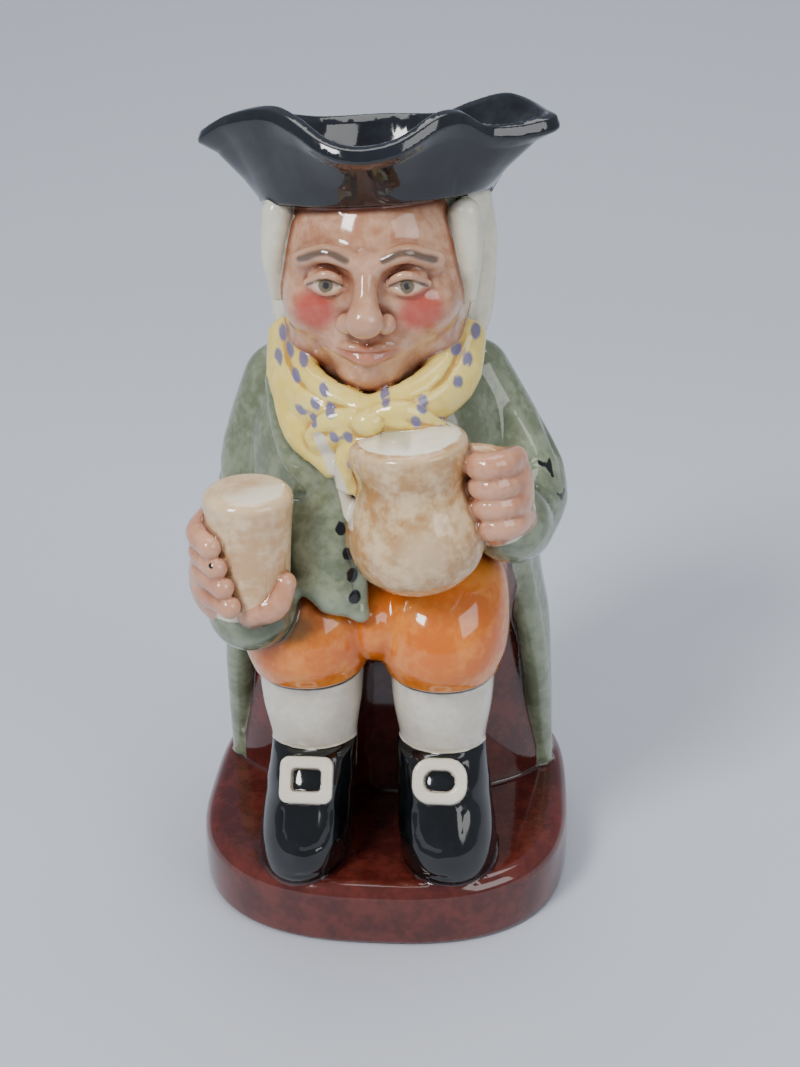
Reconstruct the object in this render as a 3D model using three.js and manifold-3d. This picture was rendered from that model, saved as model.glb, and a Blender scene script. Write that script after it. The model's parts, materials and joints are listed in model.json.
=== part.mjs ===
// A toby jug: a slip-cast, glazed earthenware jug in the shape of a seated man in a cocked hat, who holds a
// beaker in one hand and a foaming ale jug in the other. The whole jug is one casting, hollow and open at the hat.
// Millimetres, +Z up. The man faces -Y, and +X is on the right of someone who looks at his face.
// The origin is the middle of the plinth's underside.
import * as THREE from "three";
import { mergeVertices } from "three/addons/utils/BufferGeometryUtils.js";
import Module from "manifold-3d";

const wasm = await Module();
wasm.setup();

const { sin, cos, abs, sign, exp, PI } = Math;
const V = (x, y, z) => new THREE.Vector3(x, y, z);
const UP = V(0, 0, 1);
const FORWARD = V(0, -1, 0);

// ---- driving dimensions ----
const WALL = 5; // wall of the casting
const PLINTH = { halfWidth: 56.4, middle: 0, front: 53, back: 57, height: 20, frontPower: 2.6, backPower: 3.6 };
// The body's outline at each height: [z, half width, front y, back y, y of its widest place].
const BODY = [
  [14, 52, -4.5, 52, 25],
  [24, 52, -5, 52, 25],
  [50, 51, -5.5, 50.5, 23],
  [74, 49.5, -8, 48, 18],
  [90, 47, -18, 46, 12],
  [105, 45, -28, 44, 8],
  [120, 42.5, -32, 41.5, 7],
  [135, 40, -32.5, 39, 6],
  [148, 37, -30, 35.5, 5],
  [157, 32.5, -26, 32, 5],
  [165, 26, -21, 28.5, 4],
  [171, 22, -18, 25, 4],
];
// Each leg about its own middle line, in the same terms: the breeches, the stocking and the shoe.
const LEGS = [
  { side: -1, x: -19.3, shoeWidth: 13.4, toe: 1.5 },
  { side: 1, x: 18.5, shoeWidth: 14.2, toe: 0 },
];
const SPLAY = 0.09; // how far each shoe's toe turns out, per mm below the buckle
const BREECHES = [
  [78, 16.2, -40.5, -2, -22],
  [80.5, 17, -43, -2, -22],
  [87, 18.6, -46, -2, -22],
  [95, 18.9, -45.5, -2, -22],
  [103, 18.2, -41, -2, -20],
  [110, 15.8, -33, -2, -18],
  [116, 12, -25, -2, -14],
];
const STOCKING = [
  [40, 12, -32, -2, -20],
  [54, 12.6, -33.5, -2, -21],
  [66, 14.3, -37, -2, -22],
  [82, 15.4, -39, -2, -22],
];
const SHOE = [
  [18, 0.9, -48, -12, -31],
  [22, 0.98, -50, -11, -33],
  [29, 1, -50.5, -11, -33],
  [35, 0.97, -48, -11, -32],
  [42, 0.93, -44, -11, -28],
  [49, 0.92, -39.5, -11, -26],
  [54, 0.9, -35.5, -12, -24],
];
const BUCKLE = { width: 15.2, height: 13.2, bar: 3.3, y: -40.4, z: 49.2, slope: 0.62 };
const HEAD = { y: -5, z: 188, halfWidth: 26, front: 28.5, halfHeight: 26 };
const HAT = { y: -3, baseZ: 206.8, halfWidth: 31, halfDepth: 27.5, lip: 2.6, mouthZ: 213, mouth: 24 };
const BEAKER = { x: -30.6, y: -46, bottom: 108, top: 141.6, rim: 11.8, foot: 8.4 };
const ALE_JUG = { x: 13.4, y: -38.5, bottom: 112.6, height: 41, belly: 18.3, neck: 14.2, rim: 15.2, lean: -0.07 };
const HANDLE = { top: 189, bottom: 92, reach: 64, width: 13, depth: 10 };

// ---- helpers ----
// The rows' values at t, on a smooth line through rows of [t, value, value, ...].
function keyed(rows, t) {
  const last = rows.length - 1;
  const clamped = Math.min(Math.max(t, rows[0][0]), rows[last][0]);
  const i = Math.min(rows.findLastIndex((row) => row[0] <= clamped), last - 1);
  const [before, from, to, after] = [rows[Math.max(i - 1, 0)], rows[i], rows[i + 1], rows[Math.min(i + 2, last)]];
  const span = to[0] - from[0];
  const u = (clamped - from[0]) / span;
  return from.slice(1).map((value, k) => {
    const next = to[k + 1];
    const slopeIn = ((next - before[k + 1]) / (to[0] - before[0])) * span;
    const slopeOut = ((after[k + 1] - value) / (after[0] - from[0])) * span;
    return (
      value * (1 + 2 * u) * (1 - u) ** 2 + slopeIn * u * (1 - u) ** 2 + next * u * u * (3 - 2 * u) - slopeOut * u * u * (1 - u)
    );
  });
}

const spread = (count, from, to) => Array.from({ length: count }, (_, i) => from + ((to - from) * i) / (count - 1));

// A solid from a closed geometry, as manifold-3d reads it: shared vertices and no collapsed triangles.
function solid(geometry) {
  const bare = new THREE.BufferGeometry().setAttribute("position", geometry.getAttribute("position").clone());
  bare.setIndex(geometry.index);
  const merged = mergeVertices(bare, 1e-4);
  const kept = [];
  for (let i = 0; i < merged.index.count; i += 3) {
    const [a, b, c] = [0, 1, 2].map((k) => merged.index.getX(i + k));
    if (a !== b && b !== c && a !== c) kept.push(a, b, c);
  }
  const made = new wasm.Manifold(
    new wasm.Mesh({ numProp: 3, vertProperties: merged.attributes.position.array, triVerts: new Uint32Array(kept) }),
  );
  if (made.volume() <= 0) throw new Error("a solid's faces point inwards");
  return made;
}

const fuse = (solids) => solids.reduce((all, one) => all.add(one));

// The skin through rings of equally many points, each ring running right-handed round the way ahead.
// Its ends are capped, or the last ring joins the first when the skin is a closed loop.
function skin(rings, { loop = false } = {}) {
  const n = rings[0].length;
  const points = rings.flat();
  const faces = [];
  const joins = loop ? rings.length : rings.length - 1;
  for (let i = 0; i < joins; i++) {
    const [here, ahead] = [i * n, ((i + 1) % rings.length) * n];
    for (let j = 0; j < n; j++) {
      const k = (j + 1) % n;
      faces.push(here + j, here + k, ahead + k, here + j, ahead + k, ahead + j);
    }
  }
  if (!loop) {
    const middle = (ring) => ring.reduce((sum, p) => sum.add(p), V(0, 0, 0)).divideScalar(n);
    const top = (rings.length - 1) * n;
    points.push(middle(rings[0]), middle(rings[rings.length - 1]));
    for (let j = 0; j < n; j++) {
      const k = (j + 1) % n;
      faces.push(points.length - 2, k, j, points.length - 1, top + j, top + k);
    }
  }
  return solid(new THREE.BufferGeometry().setFromPoints(points).setIndex(faces));
}

// A level oval whose front and back halves may differ in depth and in squareness.
function oval({ x = 0, y, z, halfWidth, front, back, frontPower = 2.2, backPower = frontPower, ripple = () => 0 }, sides) {
  return spread(sides + 1, 0, 2 * PI)
    .slice(0, sides)
    .map((angle) => {
      const power = sin(angle) < 0 ? frontPower : backPower;
      const [c, s] = [cos(angle), sin(angle)].map((v) => sign(v) * abs(v) ** (2 / power));
      const out = ripple(angle, z);
      return V(x + (halfWidth + out) * c, y + ((s < 0 ? front : back) + out) * s, z);
    });
}

// A stack of ovals through rows of [z, half width, front y, back y, y of the widest place].
function stack(rows, zs, { x = () => 0, sides = 28, power = 2.2, ripple } = {}) {
  return skin(
    zs.map((z) => {
      const [halfWidth, front, back, middle] = keyed(rows, z);
      return oval({ x: x(z), y: middle, z, halfWidth, front: middle - front, back: back - middle, frontPower: power, ripple }, sides);
    }),
  );
}

// A limb, fold or finger: an oval section swept through points, with its own width and depth at each, and
// rounded ends. The depth is measured towards "facing".
function sweep(points, widths, depths = widths, { facing = FORWARD, sides = 8, steps = 6 } = {}) {
  const curve = new THREE.CatmullRomCurve3(points, false, "centripetal");
  const table = (values) => values.map((v, i) => [i / (values.length - 1), v]);
  const ring = (t, shrink, push) => {
    const ahead = curve.getTangent(t).normalize();
    const out = facing.clone().addScaledVector(ahead, -facing.dot(ahead)).normalize();
    const side = ahead.clone().cross(out);
    const [width] = keyed(table(widths), t);
    const [depth] = keyed(table(depths), t);
    const middle = curve.getPoint(t).addScaledVector(ahead, (push * Math.min(width, depth)) / 2);
    return spread(sides + 1, 0, 2 * PI)
      .slice(0, sides)
      .map((angle) =>
        middle
          .clone()
          .addScaledVector(out, (cos(angle) * shrink * depth) / 2)
          .addScaledVector(side, (sin(angle) * shrink * width) / 2),
      );
  };
  return skin([ring(0, 0.6, -0.8), ...spread(steps, 0, 1).map((t) => ring(t, 1, 0)), ring(1, 0.6, 0.8)]);
}

// A rounded lump with its own radii, tilted about the three axes.
function lump(at, radii, { turn = [0, 0, 0], sides = 10 } = {}) {
  const round = new THREE.SphereGeometry(1, sides, Math.round(sides * 0.65)).rotateX(PI / 2).scale(...radii);
  return solid(round.applyMatrix4(new THREE.Matrix4().makeRotationFromEuler(new THREE.Euler(...turn)).setPosition(at)));
}

// A turned form round its own upright axis, from [radius, height] pairs that run from the foot to the top.
function turned(profile, at, { lean = 0, sides = 16 } = {}) {
  const outline = profile.map(([radius, height]) => new THREE.Vector2(radius, height));
  return solid(new THREE.LatheGeometry(outline, sides).rotateX(PI / 2).rotateY(lean).translate(at.x, at.y, at.z));
}

// Both sides of a pair, made from the side: -1 on the left, 1 on the right.
const pair = (make) => [-1, 1].flatMap(make);

// ---- plinth, chair and coat ----
function plinth() {
  // [z, inset]: a soft foot, a slightly swelling side and a rounded top edge.
  const edge = [[0, 1], [1.5, 0], [15.5, 0.3], [18.7, 1.6], [PLINTH.height, 4.5]];
  return skin(
    edge.map(([z, inset]) =>
      oval(
        {
          ...PLINTH,
          y: PLINTH.middle,
          z,
          halfWidth: PLINTH.halfWidth - inset,
          front: PLINTH.front - inset,
          back: PLINTH.back - inset,
        },
        32,
      ),
    ),
  );
}

// The chair and the coat over it. The coat's skirts fall behind in pleats.
function coatAndChair() {
  const pleats = (angle, z) => Math.max(0, sin(angle)) * Math.min(1, Math.max(0, (108 - z) / 50)) * 1.6 * cos(angle * 9);
  return stack(BODY, [14, 46, 76, 92, 108, 130, 148, 159, 171], { sides: 32, power: 2.1, ripple: pleats });
}

// The front edge of the coat's skirts stands proud of the chair on each side.
function skirts() {
  return pair((side) => {
    const path = [V(side * 38, -6, 108), V(side * 44.5, 1, 72), V(side * 47, 11, 42), V(side * 48, 17, 20)];
    return sweep(path, [8, 8, 8, 8], [7, 8, 8, 8], { facing: V(side * 0.45, -1, 0), sides: 6, steps: 4 });
  });
}

// The coat's front: the rolled edge from the neck to its point, the notched lapel and the cut-away hem.
function coatFront() {
  const edge = [V(-17, -28, 163), V(-12.5, -33, 150), V(-7.5, -36, 132), V(-4.2, -38, 114), V(-2.6, -41, 103)];
  const hem = [V(-2.6, -41, 103), V(-10, -43, 107), V(-17.5, -41, 111), V(-24, -40, 106)];
  const lapel = [V(-27, -20, 162), V(-23, -27, 152), V(-17, -32.5, 142), V(-10, -35, 131)];
  return [
    sweep(edge, [5, 6, 7, 7, 4], [3, 4, 4, 5, 5], { sides: 6, steps: 5 }),
    sweep(hem, [4, 5, 5, 4], [4, 4, 4, 4], { sides: 6, steps: 4 }),
    sweep(lapel, [4, 8, 9, 3], [3, 4, 4, 2], { sides: 6, steps: 4 }),
  ];
}

function arms() {
  const beakerArm = [V(-27, 2, 153), V(-33.5, 0, 134), V(-35.2, -10, 111), V(-32.6, -33, 103), V(-32, -42, 105)];
  const jugArm = [V(26, 2, 156), V(33.5, -1, 142), V(40.6, -8, 127), V(38, -22, 123), V(37, -28, 125)];
  return [
    sweep(beakerArm, [24, 24, 25, 24.5, 24], undefined, { facing: V(-1, 0, 0), sides: 11, steps: 7 }),
    sweep(jugArm, [21, 22.5, 24.5, 23.5, 22], undefined, { facing: V(1, 0, 0), sides: 11, steps: 7 }),
  ];
}

function cuffs() {
  return [
    sweep([V(-32.2, -43, 106), V(-33.6, -45, 110.5)], [21, 19], undefined, { facing: V(-1, 0, 0), steps: 3 }),
    sweep([V(36.5, -28.5, 125.5), V(35.2, -31, 128.5)], [20, 18.5], undefined, { facing: V(1, 0, 0), steps: 3 }),
  ];
}

// ---- legs ----
const shoeX = ({ side, x }) => (z) => x + side * SPLAY * (BUCKLE.z - z);

function legs() {
  return LEGS.flatMap((leg) => {
    const x = () => leg.x;
    const shoe = SHOE.map(([z, share, front, ...rest]) => [z, share * leg.shoeWidth, front - leg.toe, ...rest]);
    return [
      stack(BREECHES, [78, 81, 88, 96, 105, 116], { x, sides: 14 }),
      stack(STOCKING, [40, 58, 82], { x, sides: 12 }),
      stack(shoe, [18, 22, 29, 37, 46, 54], { x: shoeX(leg), sides: 14 }),
    ];
  }).concat(lump(V(0, -24, 95), [8, 17, 13], { sides: 8 }));
}

function buckles() {
  const rounded = (width, height, corner) => {
    const shape = new THREE.Shape();
    const [w, h] = [width / 2, height / 2];
    shape.moveTo(-w + corner, -h).lineTo(w - corner, -h).quadraticCurveTo(w, -h, w, -h + corner);
    shape.lineTo(w, h - corner).quadraticCurveTo(w, h, w - corner, h).lineTo(-w + corner, h);
    shape.quadraticCurveTo(-w, h, -w, h - corner).lineTo(-w, -h + corner).quadraticCurveTo(-w, -h, -w + corner, -h);
    return shape;
  };
  const frame = rounded(BUCKLE.width, BUCKLE.height, 4);
  frame.holes.push(rounded(BUCKLE.width - 2 * BUCKLE.bar, BUCKLE.height - 2 * BUCKLE.bar, 1.8));
  return LEGS.map((leg) => {
    const bar = new THREE.ExtrudeGeometry(frame, { depth: 4.5, bevelEnabled: false, curveSegments: 2 });
    bar.translate(0, 0, -3.7).rotateX(PI / 2 - BUCKLE.slope);
    return solid(bar.translate(leg.x, BUCKLE.y - leg.toe, BUCKLE.z));
  });
}

// ---- head ----
// The face is a smooth egg pushed in and out by soft swellings: [x, z, spread in x, spread in z, push forward].
const FACE = [
  [0, 186, 4, 3.8, 5], // tip of the nose
  [0, 183.6, 6.4, 2.2, 2], // nostrils
  [0, 193, 3.4, 5.5, 3], // bridge
  [0, 179, 7.5, 2, 0.8], // upper lip
  [0, 176.4, 6.5, 1.3, 1.2],
  [0, 174.8, 7.5, 0.9, -1.6], // mouth
  [0, 172.8, 5.6, 1.5, 1.4], // lower lip
  [0, 170, 7, 1.4, -1],
  [0, 166, 8.5, 3, 2.2], // chin
  ...[-1, 1].flatMap((side) => [
    [side * 9, 194.2, 4.8, 3, -3], // eye socket
    [side * 9.4, 194, 3, 1.6, 1.9], // eye
    [side * 9.6, 201, 6.5, 1.9, 1.4], // brow
    [side * 14, 184.5, 6.5, 5, 1.8], // cheek
  ]),
];

function head() {
  // Levels and angles crowd together where the features are, and the back is flat, inside the hair.
  const levels = [158, 164, 168, 171.5, 174.6, 177, 180, 183, 186, 189.5, 193, 196, 199.5, 204, 212];
  const shares = spread(21, -1, 1);
  return skin(
    levels.map((z) => {
      const round = Math.sqrt(Math.max(0, 1 - ((z - HEAD.z) / (HEAD.halfHeight + 6)) ** 2)) ** 0.8;
      const face = shares.map((share) => {
        const angle = -PI / 2 + (PI / 2) * sign(share) * abs(share) ** 1.25;
        const x = HEAD.halfWidth * round * cos(angle);
        const push = FACE.reduce(
          (sum, [fx, fz, sx, sz, out]) => sum + out * exp(-(((x - fx) / sx) ** 2) - ((z - fz) / sz) ** 2),
          0,
        );
        return V(x, HEAD.y + (HEAD.front * round + push) * sin(angle), z);
      });
      const back = [1, -1].map((side) => V(side * HEAD.halfWidth * 0.8 * round, HEAD.y + 8, z));
      return [...face, ...back];
    }),
  );
}

// Long hair, combed back from the temples in thick locks that end on the collar.
function hair() {
  const rows = [
    [159, 24, -6, 24, 4],
    [172, 29.6, -9, 27, 4],
    [190, 31, -12, 27.5, 3],
    [207, 30.5, -18, 24.5, 1],
    [214, 29, -18, 23.5, 0],
  ];
  const locks = (angle, z) => 1.1 * cos(7 * angle + 0.4) * Math.min(1, Math.max(0, (208 - z) / 12));
  const crown = stack(rows, [159, 168, 180, 194, 207, 214], { sides: 28, ripple: locks });
  const temples = pair((side) =>
    sweep([V(side * 24, -18, 205), V(side * 25.3, -18, 195), V(side * 25, -15, 185)], [7, 7, 5], [7, 7, 6], {
      facing: V(side * 0.6, -1, 0),
      sides: 6,
      steps: 3,
    }),
  );
  const queue = sweep([V(0, 22, 196), V(0, 28, 176), V(0, 31.5, 158)], [22, 15, 10], [10, 9, 7], { facing: V(0, 1, 0), steps: 4 });
  return [crown, ...temples, queue];
}

// ---- neckerchief ----
function neckerchief() {
  const band = pair((side) =>
    sweep(
      [V(side * 25, -8, 171), V(side * 21.5, -22, 164.5), V(side * 12.5, -31.5, 160), V(0, -35.5, 158.5)],
      [9, 14, 14, 9],
      [8, 9, 9, 8],
      { facing: V(side * 0.3, -1, 0.15), sides: 8, steps: 6 },
    ),
  );
  const loops = [
    sweep([V(0, -38, 158), V(9, -39, 158), V(17, -36, 153)], [6, 11, 9], [5, 6, 5], { sides: 6, steps: 3 }),
    sweep([V(0, -38, 158), V(-8, -38, 155), V(-13, -35.5, 150)], [6, 11, 9], [5, 6, 5], { sides: 6, steps: 4 }),
    sweep([V(0.5, -38, 156), V(-3.5, -39.5, 148), V(-5, -39.5, 139.5)], [7, 10, 7], [5, 5, 4], { sides: 6, steps: 4 }),
    sweep([V(1, -37, 156), V(12, -37, 150), V(20, -35, 147)], [7, 12, 10], [5, 5, 5], { sides: 6, steps: 4 }),
  ];
  return [...band, ...loops];
}

// ---- cocked hat ----
// The brim's lip, by angle from the front towards +X: [degrees, distance from the hat's axis, height].
const LIP = [
  [-180, 32, 223.2],
  [-145, 31, 223.5],
  [-112, 34, 226.5],
  [-93, 42, 227],
  [-81, 45.4, 226],
  [-68, 40, 231],
  [-48, 34.5, 234],
  [-30, 35, 232.5],
  [-12, 37.6, 228],
  [0, 38.4, 227],
  [14, 37.6, 228.5],
  [32, 35, 233],
  [46, 34.2, 233],
  [59, 36, 229],
  [70, 42, 228.5],
  [80, 48, 229.5],
  [91, 45, 230],
  [106, 39, 231.8],
  [125, 33.5, 228.5],
  [145, 31.5, 224.5],
  [180, 32, 223.2],
];

function hat() {
  const sides = 36;
  const section = (degrees) => {
    const [lipRadius, lipZ] = keyed(LIP, degrees);
    const angle = (degrees * PI) / 180;
    const out = V(sin(angle), -cos(angle), 0);
    const base = 1 / Math.sqrt((sin(angle) / HAT.halfWidth) ** 2 + (cos(angle) / HAT.halfDepth) ** 2);
    const baseZ = HAT.baseZ + 3.8 * Math.max(0, cos(angle)) ** 0.4 + 1.4 * sin(angle);
    const rise = lipZ - baseZ;
    const flare = lipRadius - base;
    const at = (radius, z) => V(0, HAT.y, z).addScaledVector(out, radius);
    const { lip } = HAT;
    return [
      at(base - 6, baseZ - 1),
      at(base, baseZ),
      at(base + flare * 0.25, baseZ + rise * 0.32),
      at(base + flare * 0.7, baseZ + rise * 0.7),
      at(lipRadius, lipZ - 1.2 * lip),
      at(lipRadius - 0.4 * lip, lipZ - 0.25 * lip),
      at(lipRadius - 1.2 * lip, lipZ),
      at(lipRadius - 2 * lip, lipZ - 0.7 * lip),
      at(Math.min(base + flare * 0.45 - 5, lipRadius - 7), baseZ + rise * 0.55 + 2),
      at(base - 5.5, HAT.mouthZ),
      at(base - 9, baseZ + 2),
    ];
  };
  return skin(spread(sides + 1, 180, -180).slice(0, sides).map(section), { loop: true });
}

// ---- hands, beaker and ale jug ----
function beaker() {
  const { x, y, bottom, top, rim, foot } = BEAKER;
  const height = top - bottom;
  return turned(
    [[0, 0], [foot, 0], [rim - 0.8, height * 0.66], [rim, height - 3], [rim - 1, height - 0.8], [rim - 3, height], [0, height]],
    V(x, y, bottom),
  );
}

function beakerHand() {
  const { x, y, rim } = BEAKER;
  const fingers = [0, 1, 2, 3].map((i) => {
    const z = 130.6 - i * 5.4;
    const radius = rim + 1.2 - i * 0.3;
    const turn = [150, 190, 228 + i * 7].map((degrees) => (degrees * PI) / 180);
    const path = turn.map((angle, k) => V(x + radius * cos(angle), y + radius * sin(angle), z - k * 0.8));
    return sweep(path, [7, 7, 6.2], [7, 7.2, 6], { facing: V(-1, -0.4, 0), sides: 6, steps: 4 });
  });
  const palm = lump(V(x - 9, y + 3, 115), [8.5, 11, 13]);
  const thumb = sweep([V(x + 1, y - 6, 109), V(x + 7, y - 7, 111.5), V(x + 9.5, y - 5, 117)], [9, 7.5, 6], undefined, { steps: 3 });
  return [...fingers, palm, thumb];
}

function aleJug() {
  const { x, y, bottom, height, belly, neck, rim, lean } = ALE_JUG;
  const profile = [
    [0, 0],
    [belly * 0.62, 0],
    [belly * 0.9, height * 0.14],
    [belly, height * 0.36],
    [neck + 0.6, height * 0.64],
    [neck, height * 0.72],
    [rim, height * 0.84],
    [rim, height * 0.96],
    [rim * 0.75, height + 1.6],
    [0, height + 3.2],
  ];
  const ear = [V(x + 13, y + 1, 148), V(x + 20, y + 2, 146), V(x + 21, y + 2, 134), V(x + 16, y + 1, 126)];
  return [turned(profile, V(x, y, bottom), { lean }), sweep(ear, [7, 7, 7, 7], [6, 6, 6, 6], { sides: 7, steps: 5 })];
}

function jugHand() {
  const fingers = [0, 1, 2, 3].map((i) => {
    const z = 147.5 - i * 5.6;
    const x = 28 + i * 0.8;
    const path = [V(x - 1, -38.5, z - 1), V(x + 1.5, -44, z), V(x + 6.5, -43, z + 0.4), V(x + 10, -36, z - 1)];
    return sweep(path, [7, 7.4, 7.6, 7.4], [6, 7, 7.4, 6.4], { facing: V(0.3, -1, 0), sides: 6, steps: 4 });
  });
  const palm = lump(V(34.5, -35.5, 136), [8.5, 9.5, 13.5], { turn: [0, 0.15, 0] });
  return [...fingers, palm];
}

// ---- handle and hollow ----
function handle() {
  const { top, bottom, reach, width, depth } = HANDLE;
  const path = [V(0, 20, top), V(0, 40, top + 3), V(0, 57, top - 10), V(0, reach, top - 34), V(0, 60, 124), V(0, 50, 102), V(0, 38, bottom)];
  return sweep(path, path.map(() => depth), [width + 3, width, width, width, width, width, width + 2], {
    facing: V(1, 0, 0),
    sides: 8,
    steps: 12,
  });
}

// What the cast leaves empty: the plinth, the chair and the coat within their wall, then the head up to the mouth.
function hollow() {
  const inset = ([z, halfWidth, front, back, middle]) => [z, halfWidth - WALL, front + WALL, back - WALL, middle];
  const rows = [
    [6, 44, -42, 44, 2],
    [9, 50, -46.5, 50, 2],
    [13, 50, -46, 50, 3],
    [15.5, 48, -20, 48, 10],
    [19, 48, 0, 47, 24],
    ...BODY.slice(2, -2).map(inset),
    [166, 22.5, -15, 22, 3],
    [180, 23, -18, 21, 2],
    [198, 23, -19, 20, 1],
    [HAT.mouthZ, 23, -20, 18, 0],
    [240, 23, -20, 18, 0],
  ];
  const thighs = LEGS.map((leg) => stack(BREECHES.map(inset), [87, 98, 109], { x: () => leg.x, sides: 10 }));
  const zs = [6, 9, 14, 19, 74, 90, 107, 137, 157, 168, 190, 240];
  return fuse([stack(rows, zs, { sides: 20 }), ...thighs]);
}

const casting = fuse([
  plinth(),
  coatAndChair(),
  ...skirts(),
  ...arms(),
  ...cuffs(),
  ...coatFront(),
  ...legs(),
  ...buckles(),
  head(),
  ...hair(),
  ...neckerchief(),
  hat(),
  beaker(),
  ...beakerHand(),
  ...aleJug(),
  ...jugHand(),
  handle(),
]).subtract(hollow());

// The fused solid as one named mesh.
function meshOf(name, made, material) {
  const { vertProperties, triVerts, numProp } = made.getMesh();
  const geometry = new THREE.BufferGeometry();
  geometry.setAttribute("position", new THREE.InterleavedBufferAttribute(new THREE.InterleavedBuffer(vertProperties, numProp), 3, 0));
  const mesh = new THREE.Mesh(geometry.setIndex(new THREE.BufferAttribute(triVerts, 1)), material);
  mesh.name = name;
  return mesh;
}

const glaze = new THREE.MeshStandardMaterial({ color: 0x8a9178, roughness: 0.15, metalness: 0 });
const tobyJug = new THREE.Group();
tobyJug.add(meshOf("toby_jug", casting, glaze));

export default tobyJug;
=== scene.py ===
# %% [markdown]
# # A toby jug, sculpted like clay and dressed in glaze
# A toby jug is a drinking or show jug cast in one piece from liquid clay, in the shape of a seated man in a
# cocked hat. Everything on it is one soft, continuous wall of clay: coat, hands, beaker and face flow into each
# other in small hollows where glaze gathers. It could be made of a hundred separate meshes, but each join would
# show as a hard line. So the clay is described as a distance: for any point in space, how far is the nearest
# surface. Two distances can be joined with a soft fillet by one formula, which is just what wet clay does.

import json
import math
from concurrent.futures import ThreadPoolExecutor

import bpy
import numpy as np
from mathutils import Matrix, Vector

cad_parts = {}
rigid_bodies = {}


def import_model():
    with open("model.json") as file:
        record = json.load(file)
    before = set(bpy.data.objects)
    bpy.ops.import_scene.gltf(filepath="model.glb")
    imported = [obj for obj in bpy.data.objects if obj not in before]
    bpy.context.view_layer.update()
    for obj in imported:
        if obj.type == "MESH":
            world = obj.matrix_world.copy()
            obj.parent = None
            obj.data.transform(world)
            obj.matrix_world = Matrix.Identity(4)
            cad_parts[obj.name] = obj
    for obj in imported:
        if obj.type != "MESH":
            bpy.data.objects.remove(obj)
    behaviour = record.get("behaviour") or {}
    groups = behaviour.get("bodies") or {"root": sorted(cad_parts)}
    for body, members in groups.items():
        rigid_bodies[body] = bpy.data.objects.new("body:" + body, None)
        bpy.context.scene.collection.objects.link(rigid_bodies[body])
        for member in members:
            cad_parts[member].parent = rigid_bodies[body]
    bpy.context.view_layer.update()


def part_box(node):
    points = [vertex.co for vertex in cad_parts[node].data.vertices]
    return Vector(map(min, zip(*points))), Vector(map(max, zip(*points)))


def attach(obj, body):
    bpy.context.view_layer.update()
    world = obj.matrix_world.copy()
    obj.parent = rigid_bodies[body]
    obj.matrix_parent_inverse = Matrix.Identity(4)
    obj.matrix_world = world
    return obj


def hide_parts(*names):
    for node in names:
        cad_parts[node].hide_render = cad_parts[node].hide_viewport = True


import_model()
MM = 0.001  # the clay is sculpted in millimetres

# %% [markdown]
# ## Modelling tools
# A potter has a few tools: a roll of clay, a pressed lump, a form turned on the wheel, a wire that cuts. Each
# tool here answers with a distance in millimetres for a whole array of points at once, negative inside the clay.


# %% Smooth lines and soft joins
def keyed(rows, t):
    """The rows' values at t, on a smooth line through rows of (t, value, value, ...)."""
    rows = np.asarray(rows, np.float32)
    key, values = rows[:, 0], rows[:, 1:]
    t = np.clip(t, key[0], key[-1])
    i = np.clip(np.searchsorted(key, t, side="right") - 1, 0, len(key) - 2)
    before, after = np.maximum(i - 1, 0), np.minimum(i + 2, len(key) - 1)
    span = (key[i + 1] - key[i])[:, None]
    u = (t - key[i])[:, None] / span
    here, ahead = values[i], values[i + 1]
    slope_in = (ahead - values[before]) / (key[i + 1] - key[before])[:, None] * span
    slope_out = (values[after] - here) / (key[after] - key[i])[:, None] * span
    rest = 1 - u
    return here * (1 + 2 * u) * rest**2 + slope_in * u * rest**2 + ahead * u * u * (3 - 2 * u) - slope_out * u * u * rest


def soft_min(a, b, fillet):
    """Joins two distances; fillet is the width, in mm, over which they melt together."""
    fillet = max(fillet, 1e-3)
    h = np.maximum(fillet - np.abs(a - b), 0) / fillet
    return np.minimum(a, b) - h * h * fillet * 0.25


def soft_max(a, b, fillet):
    return -soft_min(-a, -b, fillet)


def smooth_step(low, high, value):
    t = np.clip((value - low) / (high - low), 0, 1)
    return t * t * (3 - 2 * t)


print("a soft join of two planes 0 mm away dips by", round(float(-soft_min(0.0, 0.0, 2.0)), 2), "mm at a 2 mm fillet")


# %% Lump, limb and stack of ovals
# Points travel as three long rows, x, y and z, because numpy is quickest on long rows.
def track(rows, steps=600):
    """The same smooth line as keyed, worked out once as a fine table and then only looked up."""
    low, high = float(rows[0][0]), float(rows[-1][0])
    columns = keyed(rows, np.linspace(low, high, steps + 1, dtype=np.float32)).astype(np.float32).T.copy()

    def at(t):
        s = np.clip((t - np.float32(low)) * np.float32(steps / (high - low)), 0, np.float32(steps - 1e-3))
        i = s.astype(np.int32)
        s -= i
        return [c[i] + s * (c[i + 1] - c[i]) for c in columns]

    return at


def egg_distance(own, radii):
    """About how far a point is from an egg with these radii along its own axes."""
    near, steep = 0, 0
    for c, r in zip(own, radii):
        share = c / r
        near = near + share * share
        share = share / r
        steep = steep + share * share
    near = np.sqrt(near)
    return near * (near - 1) / np.sqrt(np.maximum(steep, 1e-9))


def turn_matrix(turn):
    turned_by = Matrix.Rotation(turn[2], 3, "Z") @ Matrix.Rotation(turn[1], 3, "Y") @ Matrix.Rotation(turn[0], 3, "X")
    return np.array(turned_by, np.float32)


def local(p, at, own):
    """The points as seen from at, along the columns of the turning matrix own."""
    off = [c - np.float32(a) for c, a in zip(p, at)]
    return [off[0] * own[0, k] + off[1] * own[1, k] + off[2] * own[2, k] for k in range(3)]


def lump(at, radii, turn=(0, 0, 0)):
    """A pressed lump with its own three radii, turned about x, y and z."""
    own = turn_matrix(turn)
    return lambda p: egg_distance(local(p, at, own), np.float32(radii))


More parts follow.
